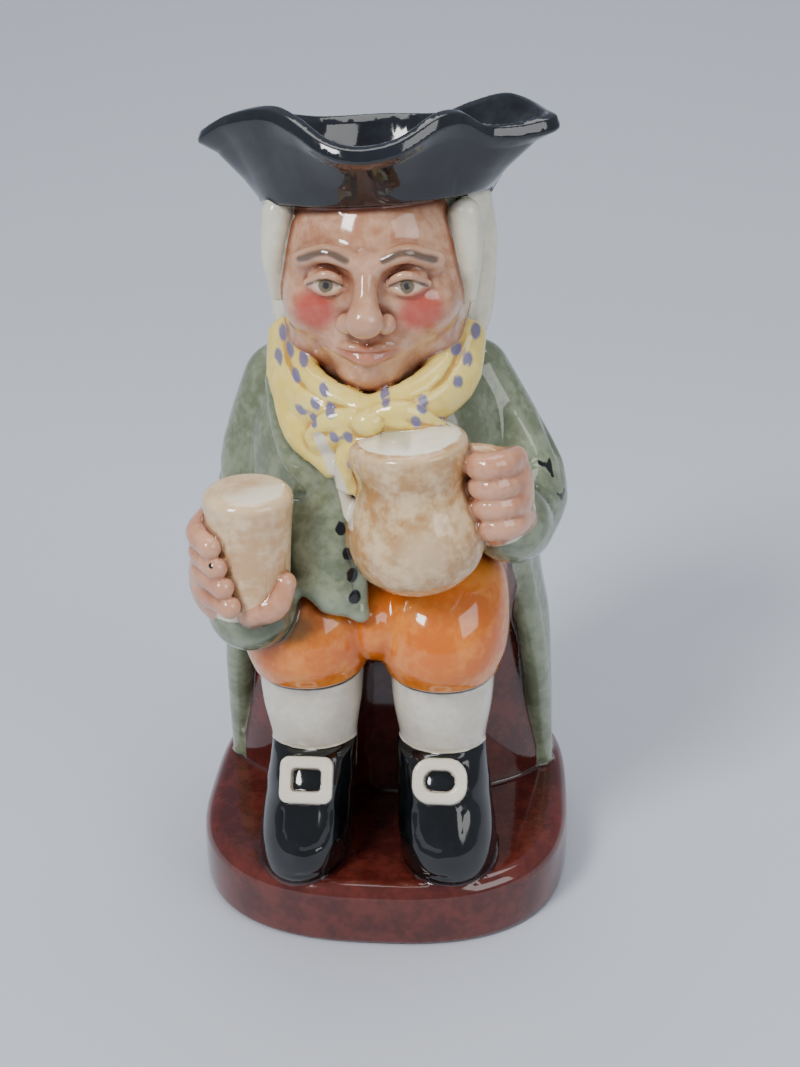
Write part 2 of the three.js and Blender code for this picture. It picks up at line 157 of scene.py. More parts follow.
def path_through(points, count):
    """A smooth line of count points through the given ones."""
    points = np.float32(points)
    stride = np.linalg.norm(np.diff(points, axis=0), axis=1) ** 0.5
    along = np.concatenate([[0], np.cumsum(stride)])
    return keyed(np.column_stack([along / along[-1], points]), np.linspace(0, 1, count, dtype=np.float32))


def nearest_on(line, p):
    """For each point: its place on the line, counted in pieces, and its squared distance from there."""
    best = place = None
    for i in range(len(line) - 1):
        start, step = line[i], line[i + 1] - line[i]
        off = [c - a for c, a in zip(p, start)]
        t = (off[0] * step[0] + off[1] * step[1] + off[2] * step[2]) * np.float32(1 / (step @ step))
        np.clip(t, 0, 1, out=t)
        far = sum((o - t * e) ** 2 for o, e in zip(off, step))
        if best is None:
            best, place = far, t
        else:
            closer = far < best
            best = np.where(closer, far, best)
            place = np.where(closer, t + np.float32(i), place)
    return place, best


def limb(points, widths, depths=None, facing=(0, -1, 0), count=9):
    """A roll of clay along points, with its full width across and its full depth towards facing at each."""
    line = path_through(points, count).astype(np.float32)
    halves = lambda values: keyed([[i / (len(values) - 1), v / 2] for i, v in enumerate(values)], np.linspace(0, 1, count))[:, 0]
    ahead = np.gradient(line, axis=0)
    ahead /= np.linalg.norm(ahead, axis=1)[:, None]
    out = np.float32(facing) - ahead * (ahead @ np.float32(facing))[:, None]
    out /= np.linalg.norm(out, axis=1)[:, None]
    facts = np.column_stack([line, np.cross(ahead, out), out, ahead, halves(widths), halves(depths or widths)])
    facts = facts.astype(np.float32).T.copy()

    def distance(p):
        place, _ = nearest_on(line, p)
        i = np.minimum(place.astype(np.int32), count - 2)
        t = place - i
        look = lambda k: facts[k][i] * (1 - t) + facts[k][i + 1] * t
        off = [c - look(k) for k, c in enumerate(p)]
        own = [off[0] * look(k) + off[1] * look(k + 1) + off[2] * look(k + 2) for k in (3, 6, 9)]
        wide, deep = look(12), look(13)
        return egg_distance(own, (wide, deep, np.minimum(wide, deep)))

    return distance


def oval_stack(rows, x=0.0, power=2.1, back_power=None, ripple=None, caps=(1.5, 1.5)):
    """Level ovals through rows of (z, half width, front y, back y, y of the widest place), with rounded ends."""
    low, high = rows[0][0], rows[-1][0]
    at = track(rows)

    def distance(p):
        z = p[2]
        half, front, back, middle = at(z)
        dx, dy = p[0] - (x(z) if callable(x) else x), p[1] - middle
        deep = np.where(dy < 0, middle - front, back - middle)
        if ripple is not None:
            bulge = ripple(np.arctan2(dy, dx), z)
            half, deep = half + bulge, deep + bulge
        n = power if back_power is None else np.where(dy < 0, np.float32(power), np.float32(back_power))
        u, v = np.abs(dx) / half, np.abs(dy) / deep
        r = np.maximum((u**n + v**n) ** (1 / n), 1e-3)
        steep = np.sqrt(np.maximum((u / r) ** (2 * n - 2) / half**2 + (v / r) ** (2 * n - 2) / deep**2, 1e-6))
        around = (r - 1) / steep
        cap = np.where(z > (low + high) / 2, np.float32(caps[1]), np.float32(caps[0]))
        a, b = around + cap, np.maximum(low - z, z - high) + cap
        return np.hypot(np.maximum(a, 0), np.maximum(b, 0)) + np.minimum(np.maximum(a, b), 0) - cap

    return distance


def turned(profile, at, lean=0.0, cap=1.0):
    """A form thrown on the wheel, from rows of (height, radius) above at, leaning towards +x as it rises."""
    stand = oval_stack([(h, r, -r, r, 0.0) for h, r in profile], power=2.0, caps=(cap, cap))
    own = turn_matrix((0, lean, 0))
    return lambda p: stand(local(p, at, own))


# %% Ridges and creases
# A fold of cloth or a combed lock is not a new lump: the surface there is only pushed out or pressed in, and
# fades back over a few millimetres. A ridge answers with that push instead of a distance.
def ridge(points, spread, height, count=7):
    line = path_through(points, count).astype(np.float32)

    def push(p):
        return height * np.exp(nearest_on(line, p)[1] * np.float32(-1 / (spread * spread)))

    def near(p):
        return np.sqrt(nearest_on(line, p)[1]) - 2.4 * spread

    return push, near


# %% The list of clay
# Every form belongs to a region, which later gets its own paint. Forms act in the order they are listed: add
# joins clay on, cut takes clay away and fold pushes the surface.
CLAY = []
REACH = 15.0  # a form further away than this from a 6 mm cube of space has no say in it


def add(region, form, fillet=1.5):
    CLAY.append((region, "add", fillet, form, form))


def cut(region, form, fillet=1.5):
    CLAY.append((region, "cut", fillet, form, form))


def fold(region, points, spread, height):
    push, near = ridge(points, spread, height)
    CLAY.append((region, "fold", 0.0, push, near))


def mirrored(points, side):
    return [(side * x, y, z) for x, y, z in points]


SIDES = (-1, 1)

# %% [markdown]
# ## Plinth, chair and coat
# The man sits on a chair that only shows between his legs and below his coat, on a plinth with a square back and
# a rounder front. Rows of ovals describe both, since a mould for casting has no undercuts: every level is one oval.

# %% Plinth and body
PLINTH = [(0, 55.4, -52, 56, 0), (1.5, 56.4, -53, 57, 0), (10, 56.6, -53.2, 57.2, 0), (20, 56.2, -52.8, 56.8, 0)]
BODY = [
    (14, 52, -4.5, 52, 25), (24, 52, -5, 52, 25), (50, 51, -5.5, 50.5, 23), (74, 49.5, -8, 48, 18),
    (90, 47, -18, 46, 12), (105, 45, -28, 44, 8), (120, 42.5, -32, 41.5, 7), (135, 40, -32.5, 39, 6),
    (148, 37, -30, 35.5, 5), (157, 32.5, -26, 32, 5), (165, 26, -21, 28.5, 4), (171, 22, -18, 25, 4),
]  # fmt: skip


def pleats(angle, z):
    """The coat's skirts fall behind in pleats that die out at the waist."""
    fall = np.maximum(0, np.sin(angle)) * np.clip((108 - z) / 50, 0, 1)
    return 1.6 * fall * (np.cos(angle * 9) + 0.25 * np.cos(angle * 27 + 1))


add("plinth", oval_stack(PLINTH, power=2.6, back_power=3.6, caps=(1.2, 4.6)))
add("body", oval_stack(BODY, ripple=pleats))
print("plinth and body:", len(CLAY), "forms")

# %% Skirts, lapel and edges of the coat
for side in SIDES:
    skirt = mirrored([(38, -6, 108), (44.5, 1, 72), (47, 11, 42), (48, 17, 21)], side)
    add("coat", limb(skirt, [8, 8, 8, 8], [7, 8, 8, 8], facing=(side * 0.45, -1, 0)), 2.5)
add("coat", limb([(-17, -28, 163), (-12.5, -33, 150), (-7.5, -36, 132), (-4.2, -38, 114), (-2.6, -41, 103)],
                 [5, 6, 7, 7, 4], [3, 4, 4, 5, 5]), 2.5)  # fmt: skip
add("coat", limb([(-2.6, -41, 103), (-10, -43, 107), (-17.5, -41, 111), (-24, -40, 106)], [4, 5, 5, 4], [4, 4, 4, 4]), 2)
add("coat", limb([(-27, -20, 162), (-23, -27, 152), (-17, -32.5, 142), (-10, -35, 131)], [4, 8, 9, 3], [3, 4, 4, 2]), 1.5)

add("coat", limb([(-17, -33, 130), (-14, -38, 117), (-9.5, -41.5, 107.5)], [24, 20, 11], [8, 8, 7], (-0.2, -1, 0)), 2.5)
COAT_FOLDS = [
    ([(-24, -26, 157), (-23, -32, 138), (-19, -37, 118)], 2.6, 0.9),
    ([(-30, -20, 152), (-27.5, -30, 130), (-25, -36, 114)], 2.4, -0.9),
    ([(-20, -34, 128), (-14, -39, 121), (-9, -41, 120)], 1.8, 0.6),
    ([(-19, -35, 120), (-13, -40, 114), (-8, -42, 114)], 1.6, -0.6),
    ([(25, -20, 164), (28.5, -25, 151), (27, -31, 139)], 2.2, 1.5),
    ([(30, -16, 160), (33, -20, 147), (31.5, -26, 137)], 2.2, -0.9),
]
for points, spread, height in COAT_FOLDS:
    fold("coat", points, spread, height)
    fold("body", points, spread, height)

# %% Sleeves and cuffs
beaker_arm = [(-27, 2, 153), (-33.5, 0, 134), (-35.2, -10, 111), (-32.6, -33, 103), (-32, -42, 105)]
jug_arm = [(26, 2, 156), (33.5, -1, 142), (40.6, -8, 127), (38, -22, 123), (37, -28, 125)]
add("coat", limb(beaker_arm, [24, 24, 25, 24.5, 24], facing=(-1, 0, 0)), 3)
add("coat", limb(jug_arm, [21, 22.5, 24.5, 23.5, 22], facing=(1, 0, 0)), 3)
SLEEVE_FOLDS = [
    ([(-46, -4, 128), (-42, -16, 121), (-34, -22, 118)], 2.0, -1.0),
    ([(-47, -8, 116), (-44, -22, 112), (-36, -32, 113)], 2.0, 0.8),
    ([(-46, -10, 106), (-43, -24, 104), (-38, -36, 106)], 1.8, -0.8),
    ([(-34, -14, 150), (-39, -11, 136), (-42, -10, 124)], 2.4, 0.9),
    ([(46, -2, 145), (49, -10, 132), (46, -20, 128)], 2.0, -0.9),
    ([(38, -10, 150), (43, -12, 140), (44, -18, 134)], 2.2, 0.9),
    ([(51, -8, 122), (47, -20, 118), (41, -27, 117)], 1.8, -0.8),
]
for points, spread, height in SLEEVE_FOLDS:
    fold("coat", points, spread, height)
add("cuff", limb([(-32.2, -43, 106), (-33.6, -45, 110.5)], [21, 19], facing=(-1, 0, 0)), 0.8)
add("cuff", limb([(36.5, -28.5, 125.5), (35.2, -31, 128.5)], [20, 18.5], facing=(1, 0, 0)), 0.8)
print("coat and sleeves:", len(CLAY), "forms")

# %% [markdown]
# ## Legs, shoes and buckles
# Each leg is three stacks of ovals, one above the other: full breeches, a stocking and a shoe. The buckle is a
# flat ring of clay laid over the instep, squarer on one shoe than on the other, as hand finishing leaves it.

# %% Legs
LEGS = [
    {"side": -1, "x": -19.3, "shoe": 13.4, "toe": 1.5, "buckle": (15.2, 13.2), "corner": 2.6, "hole": 1.4},
    {"side": 1, "x": 18.5, "shoe": 14.2, "toe": 0, "buckle": (15.6, 12.8), "corner": 5.2, "hole": 3.0},
]
BREECHES = [
    (78, 16.2, -40.5, -2, -22), (80.5, 17, -43, -2, -22), (87, 18.6, -46, -2, -22), (95, 18.9, -45.5, -2, -22),
    (103, 18.2, -41, -2, -20), (110, 15.8, -33, -2, -18), (116, 12, -25, -2, -14),
]  # fmt: skip
STOCKING = [(40, 12, -32, -2, -20), (54, 12.6, -33.5, -2, -21), (66, 14.3, -37, -2, -22), (82, 15.4, -39, -2, -22)]
SHOE = [
    (18, 0.9, -48, -12, -31), (22, 0.98, -50, -11, -33), (29, 1, -50.5, -11, -33), (35, 0.97, -48, -11, -32),
    (42, 0.93, -44, -11, -28), (49, 0.92, -39.5, -11, -26), (54, 0.9, -35.5, -12, -24),
]  # fmt: skip
BUCKLE = {"bar": 3.3, "y": -40.4, "z": 49.2, "slope": 0.62}

for leg in LEGS:
    splay = lambda z, leg=leg: leg["x"] + leg["side"] * 0.09 * (BUCKLE["z"] - z)
    shoe = [(z, share * leg["shoe"], front - leg["toe"], back, middle) for z, share, front, back, middle in SHOE]
    add("breeches", oval_stack(BREECHES, x=leg["x"], caps=(2, 4)), 1.5)
    add("stocking", oval_stack(STOCKING, x=leg["x"], caps=(1, 1)), 1)
    add("shoe", oval_stack(shoe, x=splay, caps=(1, 2)), 0.8)
    strap = [(dx + leg["x"], y - leg["toe"], z) for dx, y, z in [(-13, -22, 40), (-9, -35, 45), (0, -41, 47), (9, -35, 45), (13, -22, 40)]]
    vamp = [(dx + leg["x"], y - leg["toe"], z) for dx, y, z in [(-7, -43, 40), (-6, -47, 33), (0, -49.5, 31), (6, -47, 33), (7, -43, 40)]]
    sole = [(dx + leg["x"], y - leg["toe"], 23) for dx, y in [(-14, -30), (-10, -45), (0, -50.5), (10, -45), (14, -30)]]
    fold("shoe", strap, 3.2, 0.7)
    fold("shoe", vamp, 0.9, -0.35)
    fold("shoe", sole, 0.8, -0.4)
add("breeches", lump((0, -24, 95), (8, 17, 13)), 3)


# %% Buckles
def buckle(at, size, corner, hole, bar, slope, thickness=2.2):
    """A flat ring with rounded corners, tilted back to lie on the instep."""
    own = turn_matrix((slope, 0, 0))

    def frame_distance(u, v, half_wide, half_high, radius):
        a, b = np.abs(u) - half_wide + radius, np.abs(v) - half_high + radius
        return np.hypot(np.maximum(a, 0), np.maximum(b, 0)) + np.minimum(np.maximum(a, b), 0) - radius

    def distance(p):
        u, w, v = local(p, at, own)
        outer = frame_distance(u, v, size[0] / 2, size[1] / 2, corner)
        inner = frame_distance(u, v, size[0] / 2 - bar, size[1] / 2 - bar, hole)
        flat = np.maximum(outer, -inner)
        a, b = flat + 0.9, np.abs(w) - thickness + 0.9
        return np.hypot(np.maximum(a, 0), np.maximum(b, 0)) + np.minimum(np.maximum(a, b), 0) - 0.9

    return distance


for leg in LEGS:
    place = (leg["x"], BUCKLE["y"] - leg["toe"], BUCKLE["z"])
    add("buckle", buckle(place, leg["buckle"], leg["corner"], leg["hole"], BUCKLE["bar"], -BUCKLE["slope"]), 0.6)
print("legs:", len(CLAY), "forms")

# %% [markdown]
# ## Head, hair and face
# The face is a general one, set out by the rules in drawing books: the eyes half way up the head, five eye widths
# across it, and brow, nose and chin at equal thirds. It is built as in portrait clay: an egg, then cheeks, jaw
# and chin pressed on, sockets pressed in, and lids and lips laid on as thin rolls.

# %% Egg of the head
HEAD = {"y": -5, "z": 188, "wide": 26, "front": 28.5, "high": 32}
egg_rows = []
for z in range(157, 216, 3):
    round_ = max(0.0, 1 - ((z - HEAD["z"]) / HEAD["high"]) ** 2) ** 0.4
    egg_rows.append((z, HEAD["wide"] * round_, HEAD["y"] - HEAD["front"] * round_, HEAD["y"] + 20 * round_, HEAD["y"]))
add("skin", oval_stack(egg_rows, power=2.0, caps=(1, 1)))

# %% Features
add("skin", lump((0, -27, 176), (11, 8, 8.5)), 4)  # round the mouth
add("skin", lump((0, -25.5, 166.5), (8.5, 7.5, 5.5)), 4)  # chin
for side in SIDES:
    add("skin", lump((side * 13.5, -22.5, 184), (8.5, 8.2, 8)), 5)  # cheek
    add("skin", lump((side * 13.5, -14.5, 171), (8.5, 9, 8)), 5)  # jowl
    add("skin", limb(mirrored([(3, -33.4, 197), (10, -32.4, 199.4), (17.5, -27, 196.5)], side), [4, 5, 4]), 3)  # brow
    cut("skin", lump((side * 10.2, -35.5, 192.3), (5.8, 4.4, 4)), 3)  # socket
    add("skin", lump((side * 10.2, -27.6, 191.9), (5.2, 5.2, 5.2)), 0.6)  # eyeball
    upper = mirrored([(4.9, -31.4, 191.0), (7.4, -32.8, 193.4), (10.6, -33.0, 194.2), (15.4, -29.6, 191.2)], side)
    lower = mirrored([(4.9, -31.4, 191.0), (8, -32.4, 189.7), (11.4, -32.0, 189.4), (15.4, -29.6, 191.2)], side)
    add("skin", limb(upper, [1.2, 2.2, 2.3, 1.3]), 0.7)
    add("skin", limb(lower, [1.1, 1.6, 1.6, 1.2]), 1.0)
add("skin", limb([(0, -33, 196.5), (0, -35.8, 190), (0, -39.3, 184.6)], [5, 6, 8.4], [5, 7, 8]), 2.5)  # bridge
add("skin", lump((0, -39.4, 183.8), (4.5, 4, 3.8)), 2)  # tip
for side in SIDES:
    add("skin", lump((side * 4.9, -36.2, 182.6), (2.8, 3.5, 2.6)), 1.2)  # wing of the nose
    cut("skin", lump((side * 2.5, -38.4, 180.4), (1.3, 1.8, 0.9)), 0.7)  # nostril
upper_lip = [(-8.6, -31.8, 174.9), (-3.4, -35.2, 176.1), (0, -35.5, 175.6), (3.4, -35.2, 176.1), (8.6, -31.8, 174.9)]
lower_lip = [(-7.6, -32.2, 174.2), (0, -35.3, 172.8), (7.6, -32.2, 174.2)]
add("skin", limb(upper_lip, [1, 2.2, 1.9, 2.2, 1]), 1)
add("skin", limb(lower_lip, [1, 3, 1]), 1)
cut("skin", limb([(-9, -32.6, 174.9), (0, -36.9, 174.5), (9, -32.6, 174.9)], [0.6, 0.9, 0.6]), 0.6)
fold("skin", [(0, -35.5, 179.5), (0, -35.6, 177)], 1.3, -0.5)
print("face:", len(CLAY), "forms")

# %% Hair
HAIR = [(159, 24, -6, 24, 4), (172, 29.6, -9, 27, 4), (190, 31, -12, 27.5, 3), (207, 30.5, -18, 24.5, 1), (214, 29, -18, 23.5, 0)]


def locks(angle, z):
    """Combed hair: broad locks with finer strands in them, a little wavy as they fall."""
    fade = np.clip((208 - z) / 12, 0, 1)
    sway = angle + 0.035 * np.sin(z / 13)
    return fade * (0.8 * np.cos(7 * angle + 0.4) + 0.3 * np.cos(19 * sway + 1) + 0.16 * np.cos(43 * sway))


add("hair", oval_stack(HAIR, power=2.2, ripple=locks))
for side in SIDES:
    temple = mirrored([(24, -17, 206), (25.3, -18, 196), (25.4, -15.5, 184)], side)
    add("hair", limb(temple, [8, 6.5, 3.5], facing=(side * 0.6, -1, 0)), 2.5)
add("hair", limb([(0, 22, 196), (0, 28, 176), (0, 31.5, 158)], [22, 15, 10], [10, 9, 7], facing=(0, 1, 0)), 3)

# %% [markdown]
# ## Neckerchief
# A silk square folded into a band, wound round the neck and tied in a bow. The band is two wide rolls with the
# folds pushed into them; the bow is four tapering rolls that leave the knot.

# %% Neckerchief
for side in SIDES:
    band = mirrored([(25, -8, 171), (21.5, -22, 164.5), (12.5, -31.5, 160), (0, -35.5, 158.5)], side)
    add("scarf", limb(band, [10, 15, 14, 9], [8, 8.5, 9, 8], facing=(side * 0.3, -1, 0.15)), 1)
    for lower, deep in ((2.5, -0.9), (-2.8, -1.0)):
        crease = mirrored([(25, -15, 171 + lower), (18.5, -29.5, 162.5 + lower), (6, -38, 158 + lower * 0.7)], side)
        fold("scarf", crease, 1.3, deep)
BOW = [
    ([(0, -38, 158), (9, -39, 158), (17, -36, 153)], [6, 11, 9], [5, 6, 5]),
    ([(0, -38, 158), (-8, -38, 155), (-13, -35.5, 150)], [6, 11, 9], [5, 6, 5]),
    ([(0.5, -38, 156), (-3.5, -39.5, 148), (-5, -39.5, 139.5)], [7, 10, 7], [5, 5, 4]),
    ([(1, -37, 156), (12, -37, 150), (20, -35, 147)], [7, 12, 10], [5, 5, 5]),
]
BOW.append(([(-24, -23, 163), (-17, -31.5, 153), (-9, -37, 144)], [6, 12, 7], [5, 5, 4]))
BOW_CREASES = [
    ([(-1, -41.5, 157), (-7, -42, 156), (-14, -38.5, 152.5)], 1.0, -0.9),
    ([(-1, -41.5, 156), (-6, -42, 152.5), (-12, -38.5, 147)], 1.0, -0.8),
    ([(2, -42, 158.5), (9, -42.5, 159.5), (17, -39, 156)], 1.0, -0.9),
    ([(3, -41.5, 156.5), (10, -42.5, 156), (19, -39, 151)], 1.0, -0.8),
    ([(0, -42, 154), (-2, -43, 147), (-4.4, -42, 140)], 1.0, -0.8),
    ([(6, -40, 153), (13, -40.5, 150), (20, -38, 146)], 1.0, -0.7),
]
for points, widths, depths in BOW:
    add("scarf", limb(points, widths, depths), 0.8)
for points, spread, height in BOW_CREASES:
    fold("scarf", points, spread, height)
add("scarf", lump((0.5, -39.8, 157.5), (4.4, 3.4, 3.6)), 0.6)
print("hair and neckerchief:", len(CLAY), "forms")

# %% [markdown]
# ## Cocked hat
# The brim is folded up on three sides into a thick rolled lip, and the jug's mouth is inside it. No stack of
# ovals gives that, so the hat is a section like a slice of cake that changes as it goes round: its lip follows a
# table of angle, radius and height.

# %% Hat
HAT = {"y": -3, "base": 206.8, "wide": 31, "deep": 27.5, "lip": 2.6, "mouth": 213}
LIP = [
    (-215, 31.5, 224.5), (-180, 32, 223.2), (-145, 31, 223.5), (-112, 34, 226.5), (-93, 42, 227), (-81, 45.4, 226),
    (-68, 40, 231), (-48, 34.5, 234), (-30, 35, 232.5), (-12, 37.6, 228), (0, 38.4, 227), (14, 37.6, 228.5),
    (32, 35, 233), (46, 34.2, 233), (59, 36, 229), (70, 42, 228.5), (80, 48, 229.5), (91, 45, 230), (106, 39, 231.8),
    (125, 33.5, 228.5), (145, 31.5, 224.5), (180, 32, 223.2), (215, 31, 223.5),
]  # fmt: skip


def section_distance(points, u, v):
    """Distance from (u, v) to a closed outline whose corners are arrays, one value for each point in space."""
    far = np.full(len(u), 1e9, np.float32)
    inside = np.zeros(len(u), bool)
    for i in range(len(points)):
        (ax, ay), (bx, by) = points[i], points[(i + 1) % len(points)]
        ex, ey, wx, wy = bx - ax, by - ay, u - ax, v - ay
        t = np.clip((wx * ex + wy * ey) / np.maximum(ex * ex + ey * ey, 1e-9), 0, 1)
        far = np.minimum(far, (wx - t * ex) ** 2 + (wy - t * ey) ** 2)
        crosses = (ay > v) != (by > v)
        inside ^= crosses & (u < ex * wy / np.where(np.abs(ey) < 1e-9, 1e-9, ey) + ax)
    return np.where(inside, -1, 1) * np.sqrt(far)


lip_at = track(LIP)


def cocked_hat(p):
    dx, dy = p[0], p[1] - HAT["y"]
    angle = np.arctan2(dx, -dy)
    lip_r, lip_z = lip_at(np.degrees(angle))
    base = 1 / np.sqrt((np.sin(angle) / HAT["wide"]) ** 2 + (np.cos(angle) / HAT["deep"]) ** 2)
    foot = HAT["base"] + 3.8 * np.maximum(0, np.cos(angle)) ** 0.4 + 1.4 * np.sin(angle)
    rise, flare, lip = lip_z - foot, lip_r - base, HAT["lip"]
    shrink = 1.0  # the outline is drawn this much inside, and the clay is rounded out by it
    outline = [
        (base - 6, foot - 1 + shrink), (base - shrink, foot + shrink),
        (base + flare * 0.25 - shrink, foot + rise * 0.32), (base + flare * 0.7 - shrink, foot + rise * 0.7),
        (lip_r - shrink, lip_z - 1.2 * lip), (lip_r - 0.4 * lip - 0.6, lip_z - 0.25 * lip - 0.8),
        (lip_r - 1.2 * lip, lip_z - shrink), (lip_r - 2 * lip + 0.7, lip_z - 0.7 * lip - 0.5),
        (np.minimum(base + flare * 0.45 - 5, lip_r - 7) + shrink, foot + rise * 0.55 + 2),
        (base - 5.5 + shrink, foot + 6), (base - 9, foot + 2),
    ]  # fmt: skip
    return section_distance(outline, np.hypot(dx, dy), p[2]) - shrink


add("hat", cocked_hat, 1.0)

# %% [markdown]
# ## Beaker, ale jug and hands
# Both vessels are thrown on the wheel in real life, so they are turned forms. A hand is a palm and four fingers,
# each a bent roll, with small fillets between them so that the gaps stay sharp enough to hold the glaze.

# %% Beaker and its hand
BEAKER = {"x": -30.6, "y": -46, "bottom": 108, "top": 141.6, "rim": 11.8, "foot": 9.6}
b = BEAKER
tall = b["top"] - b["bottom"]
add("beaker", turned([(0, b["foot"]), (tall * 0.66, b["rim"] - 0.8), (tall - 3, b["rim"]), (tall, b["rim"] - 0.6)],
                     (b["x"], b["y"], b["bottom"]), cap=2.4), 0.8)  # fmt: skip
for i in range(4):
    z, around = 130.6 - i * 5.4, b["rim"] + 1.2 - i * 0.3
    turns = [math.radians(d) for d in (150, 190, 228 + i * 7)]
    path = [(b["x"] + around * math.cos(a), b["y"] + around * math.sin(a), z - k * 0.8) for k, a in enumerate(turns)]
    add("hand", limb(path, [7, 7, 6.2], [7, 7.2, 6], facing=(-1, -0.4, 0), count=7), 0.7)
add("hand", lump((b["x"] - 9, b["y"] + 3, 115), (8.5, 11, 13)), 1.2)
thumb = [(b["x"] + 1, b["y"] - 6, 109), (b["x"] + 7, b["y"] - 7, 111.5), (b["x"] + 9.5, b["y"] - 5, 117)]
add("hand", limb(thumb, [9, 7.5, 6], count=8), 1)

# %% Ale jug and its hand
ALE = {"x": 13.4, "y": -38.5, "bottom": 112.6, "height": 41, "belly": 18.3, "neck": 14.2, "rim": 15.2, "lean": -0.07}
a, h = ALE, ALE["height"]
profile = [
    (0, a["belly"] * 0.6), (h * 0.14, a["belly"] * 0.9), (h * 0.36, a["belly"]), (h * 0.64, a["neck"] + 0.6),
    (h * 0.72, a["neck"]), (h * 0.84, a["rim"]), (h * 0.96, a["rim"]), (h, a["rim"] * 0.94),
]  # fmt: skip
add("ale_jug", turned(profile, (a["x"], a["y"], a["bottom"]), a["lean"], cap=1.4), 1)
x, y = a["x"], a["y"]
ear = [(x + 13, y + 1, 148), (x + 20, y + 2, 146), (x + 21, y + 2, 134), (x + 16, y + 1, 126)]
add("ale_jug", limb(ear, [7, 7, 7, 7], [6, 6, 6, 6]), 1)
add("foam", lump((x - 2.6, y, 152.6), (13.6, 13.6, 3.4), turn=(0, a["lean"], 0)), 0.6)
for i in range(4):
    z, x = 147.5 - i * 5.6, 28 + i * 0.8
    path = [(x - 1, -38.5, z - 1), (x + 1.5, -44, z), (x + 6.5, -43, z + 0.4), (x + 10, -36, z - 1)]
    add("hand", limb(path, [7, 7.4, 7.6, 7.4], [6, 7, 7.4, 6.4], facing=(0.3, -1, 0), count=7), 0.7)
add("hand", lump((34.5, -35.5, 136), (8.5, 9.5, 13.5), turn=(0, 0.15, 0)), 1.2)
print("vessels and hands:", len(CLAY), "forms")

# %% Handle
HANDLE = {"top": 189, "bottom": 92, "reach": 64, "width": 13, "depth": 10}
g = HANDLE
loop = [(0, 20, g["top"]), (0, 40, g["top"] + 3), (0, 57, g["top"] - 10), (0, g["reach"], g["top"] - 34),
        (0, 60, 124), (0, 50, 102), (0, 38, g["bottom"])]  # fmt: skip
add("handle", limb(loop, [g["depth"]] * 7, [g["width"] + 3] + [g["width"]] * 5 + [g["width"] + 2], facing=(1, 0, 0), count=20), 2)

# %% Hollow
WALL = 5.0
BORE = [(6, 44, -42, 44, 2), (9, 50, -46.5, 50, 2), (13, 50, -46, 50, 3), (15.5, 48, -20, 48, 10), (19, 48, 0, 47, 24)]
BORE += [(z, wide - WALL, front + WALL, back - WALL, middle) for z, wide, front, back, middle in BODY[2:-2]]
BORE += [(166, 22.5, -15, 22, 3), (180, 23, -18, 21, 2), (198, 23, -19, 20, 1), (213, 23, -20, 18, 0), (240, 23, -20, 18, 0)]
bore_core = oval_stack(BORE, power=2.2, caps=(2, 0.1))
thighs = [
    oval_stack([(z, w - WALL, f + WALL, k - WALL, m) for z, w, f, k, m in BREECHES], x=leg["x"], caps=(3, 3)) for leg in LEGS
]


def bore(p):
    """The empty inside, measured like a solid."""
    d = bore_core(p)
    for thigh in thighs:
        d = soft_min(d, thigh(p), 4)
    return d


print("all the clay:", len(CLAY), "forms")

# %% [markdown]
# ## From distances to a mesh
# The distance is only worked out near the surface: space is cut into 6 mm cubes, and each cube asks only the
# forms that reach it. Inside a cube a 0.75 mm grid finds where the distance changes sign. One vertex goes into
# each grid cell on the surface, and is then slid along the steepest way until its distance is zero.

# %% Measure many points
REGIONS = ["plinth", "body", "coat", "handle", "stocking", "breeches", "shoe", "buckle", "cuff", "hair", "skin", "scarf", "hand",
           "beaker", "ale_jug", "foam", "hat"]  # fmt: skip
JOIN = {"buckle": 0.5, "foam": 0.6, "hat": 1.2, "cuff": 0.9, "shoe": 1.2, "hand": 1.0, "beaker": 0.9}
FAR = 40.0
CUBE = 6.0
POOL = ThreadPoolExecutor(4)
CHUNK = 40000
cube_rows = {}


def forms_near(centres):
    """For each form, whether it reaches each cube's centre."""
    return np.array(list(POOL.map(lambda form: form[4](centres) < REACH, CLAY)))


def cubes_of(p):
    """The number of the cube that each point is in, as an index into the cubes known so far."""
    number = np.zeros(p.shape[1], np.int64)
    for c in p:
        number = number * 1024 + np.floor(c / CUBE).astype(np.int64) + 512
    known, index = np.unique(number, return_inverse=True)
    fresh = [n for n in known.tolist() if n not in cube_rows]
    if fresh:
        at = np.array([[(n >> 20) - 512, (n >> 10 & 1023) - 512, (n & 1023) - 512] for n in fresh])
        for n, row in zip(fresh, forms_near(((at + 0.5) * CUBE).astype(np.float32).T).T):
            cube_rows[n] = row
    return np.array([cube_rows[n] for n in known.tolist()]).T, index


def form_values(job):
    value, p, index = job
    return value(p[:, index])


